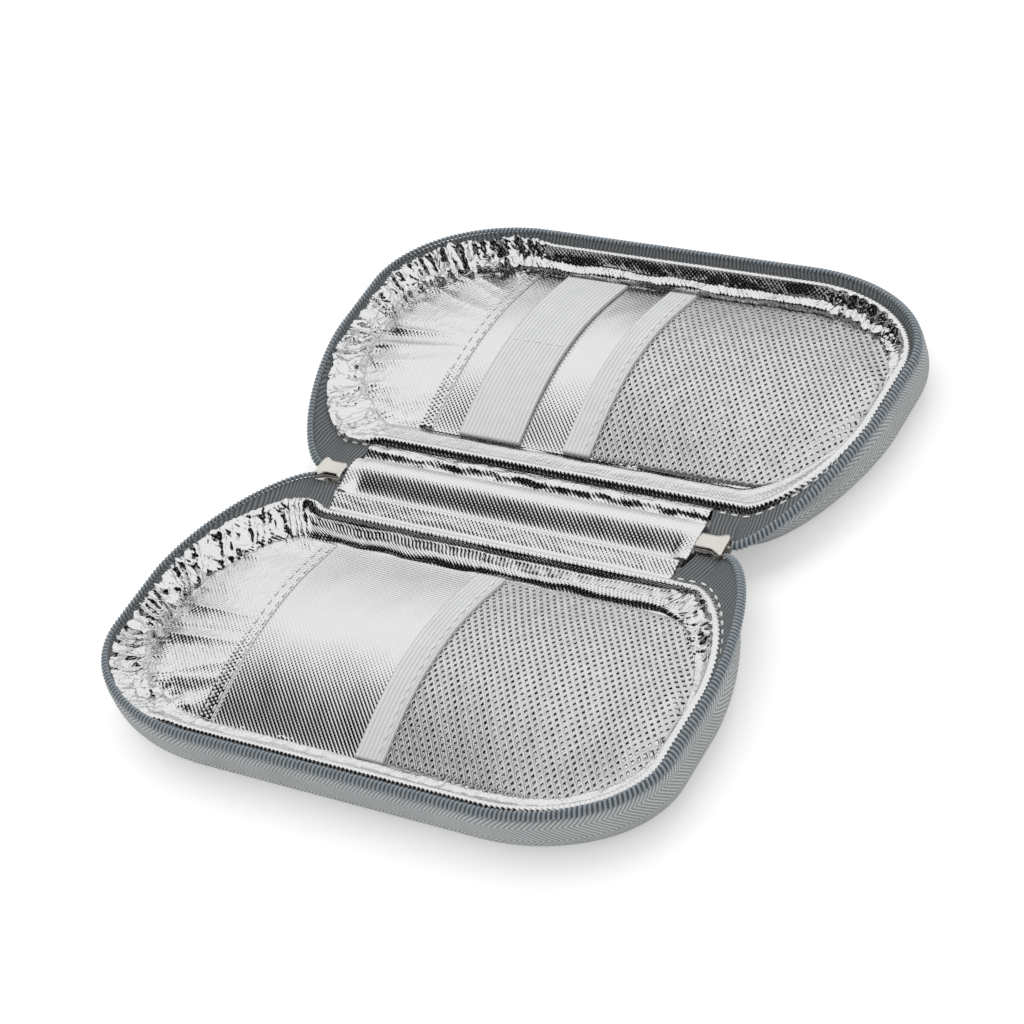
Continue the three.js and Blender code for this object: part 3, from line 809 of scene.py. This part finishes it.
def linerRing(q, k):
    if k < len(beadRings):
        inward, drop, weight = beadRings[k]
        point = onOutline(inset(lipLine, inward), q)
        point.z = lipTop(q) - drop
        return point, weight
    if k <= wallEnd:
        near, far, weight = wallRings[k - len(beadRings)]
        turn = smooth(turns["near"], turns["far"], halfWay(q))
        way, drop = (between(near[i], far[i], turn) for i in (0, 1))
        point = onOutline(inset(lipLine, liner["bead"]), q).lerp(onOutline(footLine, q), way)
        point.z = between(lipTop(q) - beadRings[-1][1], shape["footHeight"], drop)
        return point, weight
    point = onOutline(shrink(footLine, floorRings[k - wallEnd - 1]), q)
    point.z = floorHeight(point.x, point.y)
    return point, 0.2 if k == wallEnd + 1 else 0


def makeLiner(name):
    seed = liner["seed"][name]
    last = wallEnd + len(floorRings)
    wallRows = wallEnd * liner["rows"]
    rows = wallRows + len(floorRings) * liner["floorRows"]
    around = evenPath(lambda q: onOutline(lipLine, q), 400)[1]
    drops = runningSums([linerRing(0.5, k)[0] for k in range(last + 1)])
    columns = {}

    def level(t):
        row = round(t * rows)
        return row / liner["rows"] if row <= wallRows else wallEnd + (row - wallRows) / liner["floorRows"]

    def along(s, u):
        number = round(s * liner["columns"])
        if number not in columns:
            columns[number] = [linerRing(number / liner["columns"], k) for k in range(last + 1)]
        rings = columns[number]
        k = min(int(u), last - 1)
        point = spline([rings[min(max(k + i, 0), last)][0] for i in (-1, 0, 1, 2)], 1 + u - k)
        return point, between(rings[k][1], rings[k + 1][1], u - k)

    def place(s, t):
        u = level(t)
        point, weight = along(s, u)
        lip, out = outward(lipLine, s, 0.002)
        rise = {key: smooth(*rings, u) for key, rings in lineRise.items()}
        left, right = gatherAt(name, point.x, point.y)
        share = max(left, right * rise["right"])
        distance = s * around
        if weight > 0:
            folds = crumple(Vector((point.x, point.y, point.z * 1.5)), seed)
            lift = crumple(Vector((point.y, point.x, point.z)), seed + 5)
            pleat = pleatAt(distance + u * 0.35, seed)
            deep = share * weight * between(liner["shallow"], 1, rise["deep"])
            shift = deep * (pleat * liner["gather"] + folds * liner["crumple"])
            shift += left * liner["spread"] * rise["spread"]
            room = (lip - point).dot(out) + liner["room"]
            point += out * min(shift, room)
            high, low = liner["pleatRise"]
            point.z += deep * (abs(pleat) * high - low + lift * liner["crumple"] * liner["crumpleRise"])
            calm = between(liner["calm"], 1, smooth(turns["near"], turns["far"], halfWay(s)))
            small = liner["wrinkle"] * rise["wrinkle"] * calm
            width, length = liner["waverSize"]
            waver = swell(distance / width, u / length, seed + 8)
            waver *= liner["waver"] * rise["waver"]
            point += out * (folds * small + waver)
            point.z += lift * small + waver * liner["waverRise"]
        if u >= wallEnd - 1:
            away = (lip - point).length
            fade = exp(-max(away - liner["creaseStart"], 0) / liner["creaseFade"])
            fade *= smooth(wallEnd - 1, wallEnd + 1, u) * smooth(*liner["creaseFrom"], -point.x)
            width, length = liner["creaseSize"]
            bend = swell(distance / width, away / length, seed + 2)
            point.z += (0.55 - 2.2 * abs(bend)) * liner["crease"] * fade
            size = liner["rippleSize"]
            point.z += swell(point.x / size, point.y / size, seed) * liner["ripple"]
        return sided(trays[name], point)

    def chart(s, t):
        u = level(t)
        if u >= wallEnd:
            return along(s, u)[0][:2]
        k = int(u)
        return s * around, between(drops[k], drops[k + 1], u - k)

    bm = gridPiece(liner["columns"], rows, place, chart, closed=True)
    faceUp(bm)
    piece = finishPiece(name + "_foil_lining", bm, "gathered", bodies[name], [name + "_liner"])


for name in trays:
    makeLiner(name)
print("linings made")


# Stitches: one small rounded bar for each
thread = {"length": 2.4, "radius": 0.26, "flatness": 1.4, "gap": 1.5, "lift": 0.12}


def makeStitches(label, path, body):
    at, total = evenPath(path, 300)
    count = int(total / (thread["length"] + thread["gap"]))
    bar = Matrix.Diagonal((thread["length"] / 2, thread["radius"] * thread["flatness"], thread["radius"], 1))
    bar = bar @ Matrix.Rotation(pi / 2, 4, "Y")
    bm = bmesh.new()
    bm.loops.layers.uv.new("cloth")
    for i in range(count):
        centre, along = at((i + 0.5) * total / count)
        turn = along.to_track_quat("X", "Z").to_matrix().to_4x4()
        matrix = Matrix.Translation(centre + up * thread["lift"]) @ turn @ bar
        bmesh.ops.create_uvsphere(bm, u_segments=6, v_segments=5, radius=1, matrix=matrix)
    return finishPiece(label, bm, "thread", body)


# Zip coils: one strand wound on a core, and the tape that carries it
winding = {
    "pitch": 1.45, "wire": 0.42, "steps": 9, "sides": 6, "width": 3.2, "height": 1.9, "lean": 42,
    "core": (1.15, 0.5), "ends": (3, 14),
}


def zipPath(side):
    first = turns["near"] / 2

    def path(c):
        q = between(first, 1 - first, c)
        point = onOutline(zipLine, q)
        point.z = coilCentre(q)
        return sided(side, point)

    return path


def aroundCoil(centre, along, angle, wide, high, lean):
    across = along.cross(up).normalized()
    sideways = across * cos(lean) - up * sin(lean)
    rise = across * sin(lean) + up * cos(lean)
    return centre + sideways * wide * cos(angle) + rise * high * sin(angle)


def windCoil(at, total, width, height, lean=0.0):
    count = round(total / winding["pitch"])
    wide, high = width / 2 - winding["wire"], height / 2 - winding["wire"]
    step = 0.02 / count

    def strand(s):
        centre, along = at(s * total)
        return centre, aroundCoil(centre, along, s * count * fullTurn, wide, high, lean)

    def place(s, t):
        centre, here = strand(s)
        along = (strand(min(s + step, 1))[1] - strand(max(s - step, 0))[1]).normalized()
        out = here - centre
        out = (out - along * out.dot(along)).normalized()
        angle = t * fullTurn
        return here + (out * cos(angle) + along.cross(out) * sin(angle)) * winding["wire"]

    columns = count * winding["steps"]
    return gridPiece(columns, winding["sides"], place, flatChart(total, 3.5), capped=True)


def makeCoil(name):
    at, total = evenPath(zipPath(trays[name]))
    lean = radians(winding["lean"]) * trays[name]
    bm = windCoil(at, total, winding["width"], winding["height"], lean)
    finishPiece(name + "_coil_strand", bm, "coil", foldEnds(name, *winding["ends"]), [name + "_zip_coil"])

    def core(s, t):
        return aroundCoil(*at(s * total), t * fullTurn, *winding["core"], lean)

    # the core is coloured dark as painted shade in the gaps between the coil's turns
    bm = gridPiece(500, 8, core, flatChart(total, 5), capped=True)
    finishPiece(name + "_coil_core_painted_shade", bm, "core", foldEnds(name, *winding["ends"]))


tapes = {
    "columns": 420, "rows": 12, "start": 0.249, "sag": 0.1, "deepest": 0.2, "lipIn": 0.2, "lipDrop": 1.8,
    "coilIn": 0.9, "coilDrop": 0.2, "endShare": 0.9, "endReach": 1.6, "endDrop": 0.3,
    "stitched": (0.004, 0.16), "seam": 0.84, "ends": (4, 15),
}


def makeTape(name):
    first = tapes["start"] / 2
    straight = lipLine["half"] - lipLine["nearLength"]

    def edges(s):
        q = between(first, 1 - first, s)
        inner = onOutline(inset(lipLine, tapes["lipIn"]), q)
        inner.z = lipTop(q) - tapes["lipDrop"]
        if halfWay(q) < turns["near"]:
            x = shape["zipStart"] - (straight - abs(inner.x)) * tapes["endShare"]
            height = zipEndHeight - tapes["endDrop"]
            outer = Vector((copysign(x, inner.x), shape["zipEndReach"] + tapes["endReach"], height))
        else:
            edge, out = outward(zipLine, q, 0.001)
            outer = edge - out * tapes["coilIn"]
            outer.z = coilCentre(q) - tapes["coilDrop"]
        return outer, inner

    def place(s, t):
        outer, inner = edges(s)
        point = outer.lerp(inner, t)
        point.z -= sin(t * pi) * min((outer - inner).length * tapes["sag"], tapes["deepest"])
        return sided(trays[name], point)

    total = evenPath(lambda q: onOutline(zipLine, between(first, 1 - first, q)))[1]

    def chart(s, t):
        outer, inner = edges(s)
        return s * total, t * (outer - inner).length

    bm = gridPiece(tapes["columns"], tapes["rows"], place, chart)
    faceUp(bm)
    body = foldEnds(name, *tapes["ends"])
    piece = finishPiece(name + "_tape", bm, "tape", body, [name + "_zip_tape"])
    low, high = tapes["stitched"]
    for label, begin, stop in (("right", low, high), ("left", 1 - low, 1 - high)):
        seam = lambda s, a=begin, b=stop: place(between(a, b, s), tapes["seam"])
        makeStitches(f"{name}_{label}_tape_stitches", seam, body)


for name in trays:
    makeCoil(name)
    makeTape(name)
print("zips made")


# Pockets: a crowned foil panel, its hem, the net, and the elastic bands over it
pocket = {
    "mouth": {"lower": -56.5, "upper": -52.5},
    "end": 91.3,
    "margin": 0.2,
    "endReach": 3.2,
    "endFrom": (56, 86),
    "columns": 150,
    "rows": 90,
    "ripple": 0.22,
    "seed": {"lower": 21.3, "upper": 33.9},
}
bands = {
    "pocket_hem": {
        "width": 5.0, "lift": 0.05, "thick": 0.55, "finish": "foil", "seams": (1.0, 4.0), "seamLift": 0.65,
    },
    "net_binding": {
        "start": 1.5, "width": 10.0, "lift": 0.15, "thick": 1.1, "finish": "elastic", "seam": (2.2, 1.42),
    },
    "band": {
        "start": -37.5, "width": 23.0, "lift": 0.15, "thick": 1.0, "finish": "elastic", "seam": (21.0, 1.15),
    },
}
bindingEnd = bands["net_binding"]["start"] + bands["net_binding"]["width"]
netting = {
    "pitch": (2.5, 3.3), "pull": 1.6, "lift": 0.42, "least": 1.6, "ring": 0.27, "rise": 0.2, "thick": 0.2,
}


def pocketSpan(x):
    return spanAt(inset(footLine, pocket["margin"] - pocket["endReach"] * smooth(*pocket["endFrom"], x)), x)


def acrossTray(x, share):
    return between(*pocketSpan(x), share)


def pocketSurface(name, x, share, lift=0.0):
    reach = acrossTray(x, share)
    seed = pocket["seed"][name]
    wave = swell(x / 17, reach / 23, seed)
    wave += 0.4 * swell(x / 6, reach / 9, seed)
    ripple = pocket["ripple"] * wave * min(min(share, 1 - share) * 8, 1)
    return sided(trays[name], (x, reach, pocketHeight(x, reach) + ripple + lift))


def makePocketPanel(name):
    start, end = pocket["mouth"][name], pocket["end"]

    def place(s, t):
        return pocketSurface(name, between(start, end, s), t)

    def chart(s, t):
        x = between(start, end, s)
        return x, acrossTray(x, t)

    bm = gridPiece(pocket["columns"], pocket["rows"], place, chart)
    faceUp(bm)
    return finishPiece(name + "_pocket_panel", bm, "foil", bodies[name], [name + "_foil_pocket"])


def makeBand(name, label, start, nodes=()):
    facts = bands[label]
    half, corner = facts["width"] / 2, facts["thick"] / 2

    def place(s, t):
        angle = t * fullTurn
        dx = (half - corner) * squared(cos(angle), 1.6) + corner * cos(angle)
        dz = corner * squared(sin(angle), 1.6)
        return pocketSurface(name, start + half + dx, 0.004 + 0.992 * s, facts["lift"] + corner + dz)

    def chart(s, t):
        return s * 76, half * cos(t * fullTurn)

    bm = gridPiece(110, 28, place, chart, capped=True)
    return finishPiece(f"{name}_{label}", bm, facts["finish"], bodies[name], nodes)


def makeNet(name):
    start, end = bindingEnd - 0.3, pocket["end"] + 0.6
    low, high = pocketSpan(start)
    stepX, stepY = netting["pitch"]
    bm = bmesh.new()
    bm.loops.layers.uv.new("cloth")
    columns, rows = round((end - start) / stepX), round((high - low) / stepY)
    bmesh.ops.create_grid(bm, x_segments=columns, y_segments=rows, size=1, calc_uvs=True)
    straight = [e for e in bm.edges if not e.is_boundary]
    bmesh.ops.poke(bm, faces=bm.faces)
    bmesh.ops.dissolve_edges(bm, edges=straight)
    for vert in bm.verts:
        x = between(start, end, (vert.co.x + 1) / 2)
        reach = between(low, high, (vert.co.y + 1) / 2)
        reach += netting["pull"] * swell(x / 30, reach / 30, 7.7)
        vert.co = pocketSurface(name, x, shareOf(*pocketSpan(x), reach), netting["lift"])
    faceUp(bm)
    flat = [f for f in bm.faces if f.calc_area() < netting["least"]]
    bmesh.ops.delete(bm, geom=flat, context="FACES")
    holes = [f for f in bm.faces if len(f.verts) == 4]
    ring, rise = netting["ring"], netting["rise"]
    for depth in (rise, -rise / 2):
        bmesh.ops.inset_individual(bm, faces=holes, thickness=ring, depth=depth, use_even_offset=True)
    bmesh.ops.delete(bm, geom=holes, context="FACES")
    bmesh.ops.delete(bm, geom=[f for f in bm.faces if f.calc_area() < 0.01], context="FACES")
    under = bmesh.ops.extrude_face_region(bm, geom=bm.faces[:], use_keep_orig=True)["geom"]
    below = [v for v in under if isinstance(v, bmesh.types.BMVert)]
    bmesh.ops.translate(bm, vec=up * -netting["thick"], verts=below)
    bmesh.ops.recalc_face_normals(bm, faces=bm.faces)
    return finishPiece(name + "_net", bm, "net", bodies[name], [name + "_mesh_pocket"])


def acrossStitches(name, label, x, lift):
    path = lambda s: pocketSurface(name, x, 0.03 + 0.94 * s, lift)
    return makeStitches(f"{name}_{label}", path, bodies[name])


for name in trays:
    panel = makePocketPanel(name)
    mouth, hemFacts = pocket["mouth"][name], bands["pocket_hem"]
    seams = [makeBand(name, "pocket_hem", mouth - 0.3)]
    binding = makeBand(name, "net_binding", bands["net_binding"]["start"], [name + "_mesh_binding"])
    net = makeNet(name)
    for i, inward in enumerate(hemFacts["seams"]):
        seams.append(acrossStitches(name, f"hem_stitches_{i + 1}", mouth + inward, hemFacts["seamLift"]))
    inward, lift = bands["net_binding"]["seam"]
    seam = acrossStitches(name, "binding_stitches", bindingEnd - inward, lift)
    if name == "upper":
        facts = bands["band"]
        band = makeBand(name, "band", facts["start"], ["upper_elastic_band"])
        length, lift = facts["seam"]
        start = facts["start"] + (facts["width"] - length) / 2
        crossing = lambda s: pocketSurface(name, start + length * s, 0.5, lift)
        tack = makeStitches("band_stitches", crossing, bodies[name])
print("pockets made")


# Spine: cover below, padding, foil facing with a ridge to one side, and the foil strips over both folds
spine = {
    "half": 61.0, "width": 7.65, "facingHalf": 64.5, "endRise": 1.05, "endLess": 0.6, "endFrom": (57.5, 61.5),
    "endNarrow": 0.12, "wrinkle": 0.14, "round": 1.25,
    # over the width, from the lower tray's side
    "levels": (-0.5, -0.95, -0.45, 0.4, 1.25, 1.95, 2.15, 2.0, 1.3),
}


def stack(levels):
    return [Vector((0, 0, level)) for level in levels]


def makeSpineLayer(label, low, high, finish, node, half):
    heights = stack(spine["levels"])
    outer = half > spine["half"]  # only the facing runs over the ends of the padding and is wrinkled

    def place(s, t):
        angle = t * fullTurn
        reach = spine["width"] * squared(cos(angle), spine["round"])
        x = (2 * s - 1) * (half - 0.35)
        k = (reach + spine["width"]) / (2 * spine["width"]) * (len(heights) - 1)
        level = spline(heights, min(k, len(heights) - 1.001)).z
        edge = smooth(*spine["endFrom"], abs(x))
        if outer:
            level += (spine["endRise"] - level * spine["endLess"]) * edge
            level += spine["wrinkle"] * swell(x / 11, reach / 6, 4.4)
        middle, thick = (low + high) / 2, (high - low) / 2
        height = middle + thick * squared(sin(angle), 4) + level
        return Vector((x, reach * (1 - spine["endNarrow"] * edge), height))

    def chart(s, t):
        return (2 * s - 1) * half, spine["width"] * squared(cos(t * fullTurn), spine["round"])

    bm = gridPiece(150, 64, place, chart, capped=True)
    return finishPiece(label, bm, finish, "spine", [node])


makeSpineLayer("spine_outer", 9.6, 10.6, "twill", "spine_cover", spine["half"])
makeSpineLayer("spine_foam", 10.9, 11.5, "foam", "spine_padding", spine["half"])
spineFacing = makeSpineLayer("spine_facing", 11.8, 12.4, "foil", "spine_panel", spine["facingHalf"])

strip = {"half": 62.5, "columns": 320, "rows": 24, "ends": (7.4, 14.5)}
strips = {
    "lower": {
        "levels": (0.0, 1.3, 1.1, 0.75, 0.4, 0.1, 0.35),
        "inner": 6.3, "sharp": 0.12, "sway": 0.3, "finish": "foil",
    },
    "upper": {
        "levels": (0.55, 0.15, 0.3, 1.0, 1.2, 0.9, 0.4),
        "inner": 7.2, "sharp": 0.7, "sway": 1.7, "finish": "gathered",
    },
}


def makeHingeStrip(name):
    side, facts = trays[name], strips[name]
    inner, outer = facts["inner"], lipLine["near"] - 0.4
    levels = stack(facts["levels"])

    def place(s, t):
        x = (2 * s - 1) * strip["half"]
        reach = between(inner, outer, t)
        base = fold["height"] + spline(levels, min(t, 0.999) * (len(levels) - 1)).z
        middle = sin(t * pi)
        folds = crumple(Vector((x * 0.45, reach, 0)), 14.2 + side) * facts["sharp"] * middle
        sway = swell(x / 13, 0, side) * facts["sway"] * middle
        return sided(side, (x, reach + sway, base + folds))

    bm = gridPiece(strip["columns"], strip["rows"], place, flatChart(125, 9))
    faceUp(bm)
    body = foldEnds(name, *strip["ends"])
    piece = finishPiece(name + "_fold_strip", bm, facts["finish"], body, [name + "_hinge_strip"])


for name in trays:
    makeHingeStrip(name)
print("spine made")


# Zip ends: the coils run on behind each slider, and a folded piece of cloth covers their end
zipEnd = {
    "start": 61.0, "stop": 64.4, "end": 67.9, "stopWidth": 6.4, "width": 5.4, "low": 11.2, "high": 13.6,
    "round": 0.7,
}


def makeZipEnd(label, way):
    middle = (zipEnd["low"] + zipEnd["high"]) / 2
    height = zipEnd["high"] - zipEnd["low"]
    bm = bmesh.new()
    bm.loops.layers.uv.new("cloth")
    size = Matrix.Diagonal((zipEnd["stop"] - zipEnd["start"], zipEnd["stopWidth"], height - 0.2, 1))
    bmesh.ops.create_cube(bm, size=1, matrix=size)
    bmesh.ops.bevel(
        bm, geom=bm.edges[:], offset=zipEnd["round"], segments=3, profile=0.5, affect="EDGES", material=-1,
    )
    bmesh.ops.translate(bm, vec=(way * (zipEnd["start"] + zipEnd["stop"]) / 2, 0, middle), verts=bm.verts)
    finishPiece(label + "_zip_stop", bm, "elastic", "spine", [label + "_zip_end"])
    for name, side in trays.items():
        start = Vector((way * (zipEnd["stop"] - 0.3), side * zipEnd["width"] / 4, middle))
        run = Vector((way * (zipEnd["end"] - zipEnd["stop"] + 0.2), 0, 0))
        straight = lambda d: (start + run.normalized() * d, run.normalized())
        bm = windCoil(straight, run.length, zipEnd["width"] / 2, height)
        finishPiece(f"{label}_{name}_coil_end", bm, "coil", "spine")


for label, way in ends.items():
    makeZipEnd(label, way)


# Sliders: two plates with turned edges on a post, a bail below and a tab that hangs from it
slider = {
    "centre": 69.6, "start": -4.9, "end": 4.9, "front": 8.6, "rear": 6.4, "flare": 0.6, "chamfer": 1.0,
    "rounding": 0.7, "middle": 12.4, "gap": 1.6, "height": 2.6, "flange": 0.95, "skin": 0.55,
    "edgeDrop": 0.45, "edgeShare": 1 / 14,
    "post": 2.45, "postRadius": 0.8, "bailLength": 6.4, "bailWidth": 2.4, "bailLow": 6.6, "bailWall": 1.0,
}
tab = {"length": 20.0, "bar": 0.5, "width": 7.0, "thick": 1.0, "eye": (3.8, 4.4)}


def sliderHalf(share):
    half = slider["rear"] / 2
    if share > 0.5:
        half += (slider["front"] - slider["rear"]) / 2 * min((share - 0.5) / 0.5 / slider["flare"], 1) ** 2
    half -= slider["chamfer"] * smooth(0.9, 1, share) ** 2
    return half - slider["rounding"] * smooth(0.08, 0, share) ** 2


# Section of a plate, from the middle of its outside over one turned edge to the middle of its inside
def plateSection(half):
    top, under, lip, inner = slider["height"], slider["gap"] + 0.25, slider["flange"], half - slider["skin"]
    side = [
        (half * 0.5, top + 0.08), (half - 0.5, top - 0.05), (half - 0.12, top - 0.35), (half, under),
        (half, lip), (half - 0.15, lip - 0.12), (inner, lip), (inner, under - 0.15), (inner - 0.3, under),
    ]
    return [(0, top + 0.12), *side, (0, under + 0.05), *((-x, z) for x, z in reversed(side))]


def makeSliderPlate(way, facing):
    def place(s, t):
        section = plateSection(sliderHalf(s))
        across, height = section[round(t * len(section)) % len(section)]
        if height > slider["height"] - 0.4:
            height -= slider["edgeDrop"] * max(1 - min(s, 1 - s) / slider["edgeShare"], 0)
        along = between(slider["start"], slider["end"], s)
        return Vector((way * (slider["centre"] + along), across, slider["middle"] + facing * height))

    return gridPiece(40, 20, place, flatChart(10, 20), capped=True)


def joinInto(bm, other):
    mesh = bpy.data.meshes.new("part")
    other.to_mesh(mesh)
    other.free()
    bm.from_mesh(mesh)
    bpy.data.meshes.remove(mesh)


def makeSlider(label, way):
    bm = makeSliderPlate(way, 1)
    joinInto(bm, makeSliderPlate(way, -1))
    post = bmesh.new()
    bmesh.ops.create_cone(
        post, cap_ends=True, segments=20, radius1=slider["postRadius"], radius2=slider["postRadius"],
        depth=2 * slider["gap"] + 0.6,
        matrix=Matrix.Translation((way * (slider["centre"] + slider["post"]), 0, slider["middle"])),
    )
    joinInto(bm, post)
    top, low = slider["middle"] - slider["height"] + 0.1, slider["bailLow"]
    half = slider["bailLength"] / 2 - slider["bailWall"] / 2
    route = [(-half - 0.3, top), (-half, top - 0.9), (-half + 0.15, low + 2), (-half + 0.9, low + 0.75)]
    route += [(0, low + 0.5), *((-x, z) for x, z in reversed(route))]
    points = [Vector((way * (slider["centre"] + x), 0, z)) for x, z in route]

    def bail(s, t):
        u = min(s, 0.9999) * (len(points) - 1)
        here, ahead = spline(points, u), spline(points, min(u + 0.05, len(points) - 1.0001))
        along = (ahead - spline(points, max(u - 0.05, 0))).normalized()
        across = Vector((0, 1, 0))
        angle = t * fullTurn
        wide = slider["bailWidth"] / 2 * squared(cos(angle), 1.35)
        thick = slider["bailWall"] / 2 * squared(sin(angle), 1.35)
        return here + across * wide + along.cross(across) * thick

    joinInto(bm, gridPiece(60, 20, bail, flatChart(18, 7), capped=True))
    bmesh.ops.recalc_face_normals(bm, faces=bm.faces)
    finishPiece(label + "_slider_body", bm, "nickel", "spine", [label + "_slider"])


# Section of a tab's frame: share of the way from its edge to the eye, height in thicknesses
tabSection = [
    (0, -0.5), (0, 0.22), (0.06, 0.5), (0.5, 0.42), (0.94, 0.5), (1, 0.22),
    (1, -0.22), (0.94, -0.5), (0.5, -0.42), (0.06, -0.5), (0, -0.22),
]


def makeTab(label, way):
    node = label + "_pull_tab"
    pivot = Vector(joints[label + "_tab_swing"]["pos_m"]) / mm
    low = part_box(node)[0] / mm
    tilt = asin((pivot.z - low.z - tab["thick"] / 2) / tab["length"])
    middle, half = (tab["length"] - tab["bar"]) / 2, (tab["length"] + tab["bar"]) / 2

    def place(s, t):
        c, d = cos(s * fullTurn), sin(s * fullTurn)
        x, y = half * copysign(abs(c) ** 0.35, c), tab["width"] / 2 * copysign(abs(d) ** 0.45, d)
        edge = Vector((middle + x, y))
        hole = Vector((tab["bar"] + tab["eye"][0] / 2 * (1 + c), tab["eye"][1] / 2 * d))
        share, rise = tabSection[round(t * 10) or 10]
        point = edge.lerp(hole, share)
        rise *= tab["thick"]
        return Vector((
            pivot.x - way * (point.x * cos(tilt) + rise * sin(tilt)),
            pivot.y + point.y,
            pivot.z - point.x * sin(tilt) + rise * cos(tilt),
        ))

    bm = gridPiece(96, 10, place, flatChart(50, 10), closed=True)
    finishPiece(label + "_tab", bm, "nickel", label + "_tab", [node])


for label, way in ends.items():
    makeSlider(label, way)
    makeTab(label, way)
print("sliders made")


# Studio: white floor and world for the camera, a soft lamp above, and a dim room that only gloss sees
studio = {
    "world": 0.62,
    "lamp": 5.2,
    "lampSize": (1.4, 1.0),
    "lampPlace": (-0.25, 0.35, 1.1),
    "floor": 0.9,
    "floorSize": 6,
    "glow": 0.36,
    "dome": 2.4,
    "black": (0.012, 0.012, 0.013, 1),
    "front": (-0.34, -0.94, 0.0),
    "frontEdge": (0.02, 0.12),
    "frontLow": (0.06, 0.24),
    "frontHigh": (0.87, 0.95),
    "back": (-0.3, 0.95, 0.0),
    "backEdge": (0.5, 0.85),
    "backHigh": (0.12, 0.42),
    "backShare": 0.45,
}


def seenBy(finish, *rays):
    path = finish.node("ShaderNodeLightPath")
    total = 0.0
    for ray in rays:
        total = Maths(finish, path.outputs[f"Is {ray} Ray"]) + total
    return finish.number("MINIMUM", total, 1.0)


def makeWorld():
    world = bpy.data.worlds.new("studio")
    bpy.context.scene.world = world
    world.use_nodes = True
    air = Finish("air", tree=world.node_tree)
    strength = seenBy(air, "Camera", "Glossy", "Transmission") * (1 - studio["world"]) + studio["world"]
    air.feed(air.nodes["Background"].inputs["Strength"], strength)
    air.nodes["Background"].inputs["Color"].default_value = (1, 1, 1, 1)


def makeLamp():
    data = bpy.data.lights.new("softbox", "AREA")
    data.shape = "RECTANGLE"
    data.size, data.size_y = studio["lampSize"]
    data.energy = studio["lamp"]
    lamp = placeObject("softbox", data)
    lamp.location = studio["lampPlace"]
    lamp.rotation_euler = (-Vector(lamp.location)).to_track_quat("-Z", "Y").to_euler()
    lamp.visible_glossy = False


def makeFloor():
    bm = bmesh.new()
    bmesh.ops.create_grid(bm, x_segments=1, y_segments=1, size=studio["floorSize"])
    paper = Finish("paper")
    paper.set(baseColor=(studio["floor"],) * 3 + (1,), roughness=0.9, specularIorLevel=0.0)
    paper.set(emissionColor=(1, 1, 1, 1), emissionStrength=seenBy(paper, "Camera", "Glossy") * studio["glow"])
    meshObject("floor", bm, paper.material)


def makeDimRoom():
    bm = bmesh.new()
    bmesh.ops.create_uvsphere(bm, u_segments=64, v_segments=32, radius=studio["dome"])
    room = Finish("dim_room")
    way = room.node("ShaderNodeVectorMath", {"operation": "NORMALIZE"}, {0: room.place()}).outputs[0]
    height = room.apart(way)[2]

    def towards(direction):
        return room.read(1, "ShaderNodeVectorMath", {"operation": "DOT_PRODUCT"}, {0: way, 1: direction})

    front = room.rise(towards(studio["front"]), *studio["frontEdge"])
    front = front * room.rise(height, *studio["frontLow"]) * (1 - room.rise(height, *studio["frontHigh"]))
    back = room.rise(towards(studio["back"]), *studio["backEdge"])
    back = back * (1 - room.rise(height, *studio["backHigh"]))
    dim = room.number("MAXIMUM", front, back * studio["backShare"])
    clear = room.node("ShaderNodeBsdfTransparent")
    black = room.node("ShaderNodeBsdfDiffuse", None, {"Color": studio["black"]})
    mixed = room.node("ShaderNodeMixShader", None, {0: dim, 1: clear.outputs[0], 2: black.outputs[0]})
    room.links.new(mixed.outputs[0], room.nodes["Material Output"].inputs["Surface"])
    dome = meshObject("dim_room", bm, room.material)
    for sight in ("visible_camera", "visible_diffuse", "visible_shadow", "visible_transmission"):
        setattr(dome, sight, False)


makeCamera()
makeWorld()
makeLamp()
makeFloor()
makeDimRoom()
bpy.context.scene.view_settings.view_transform = "Standard"
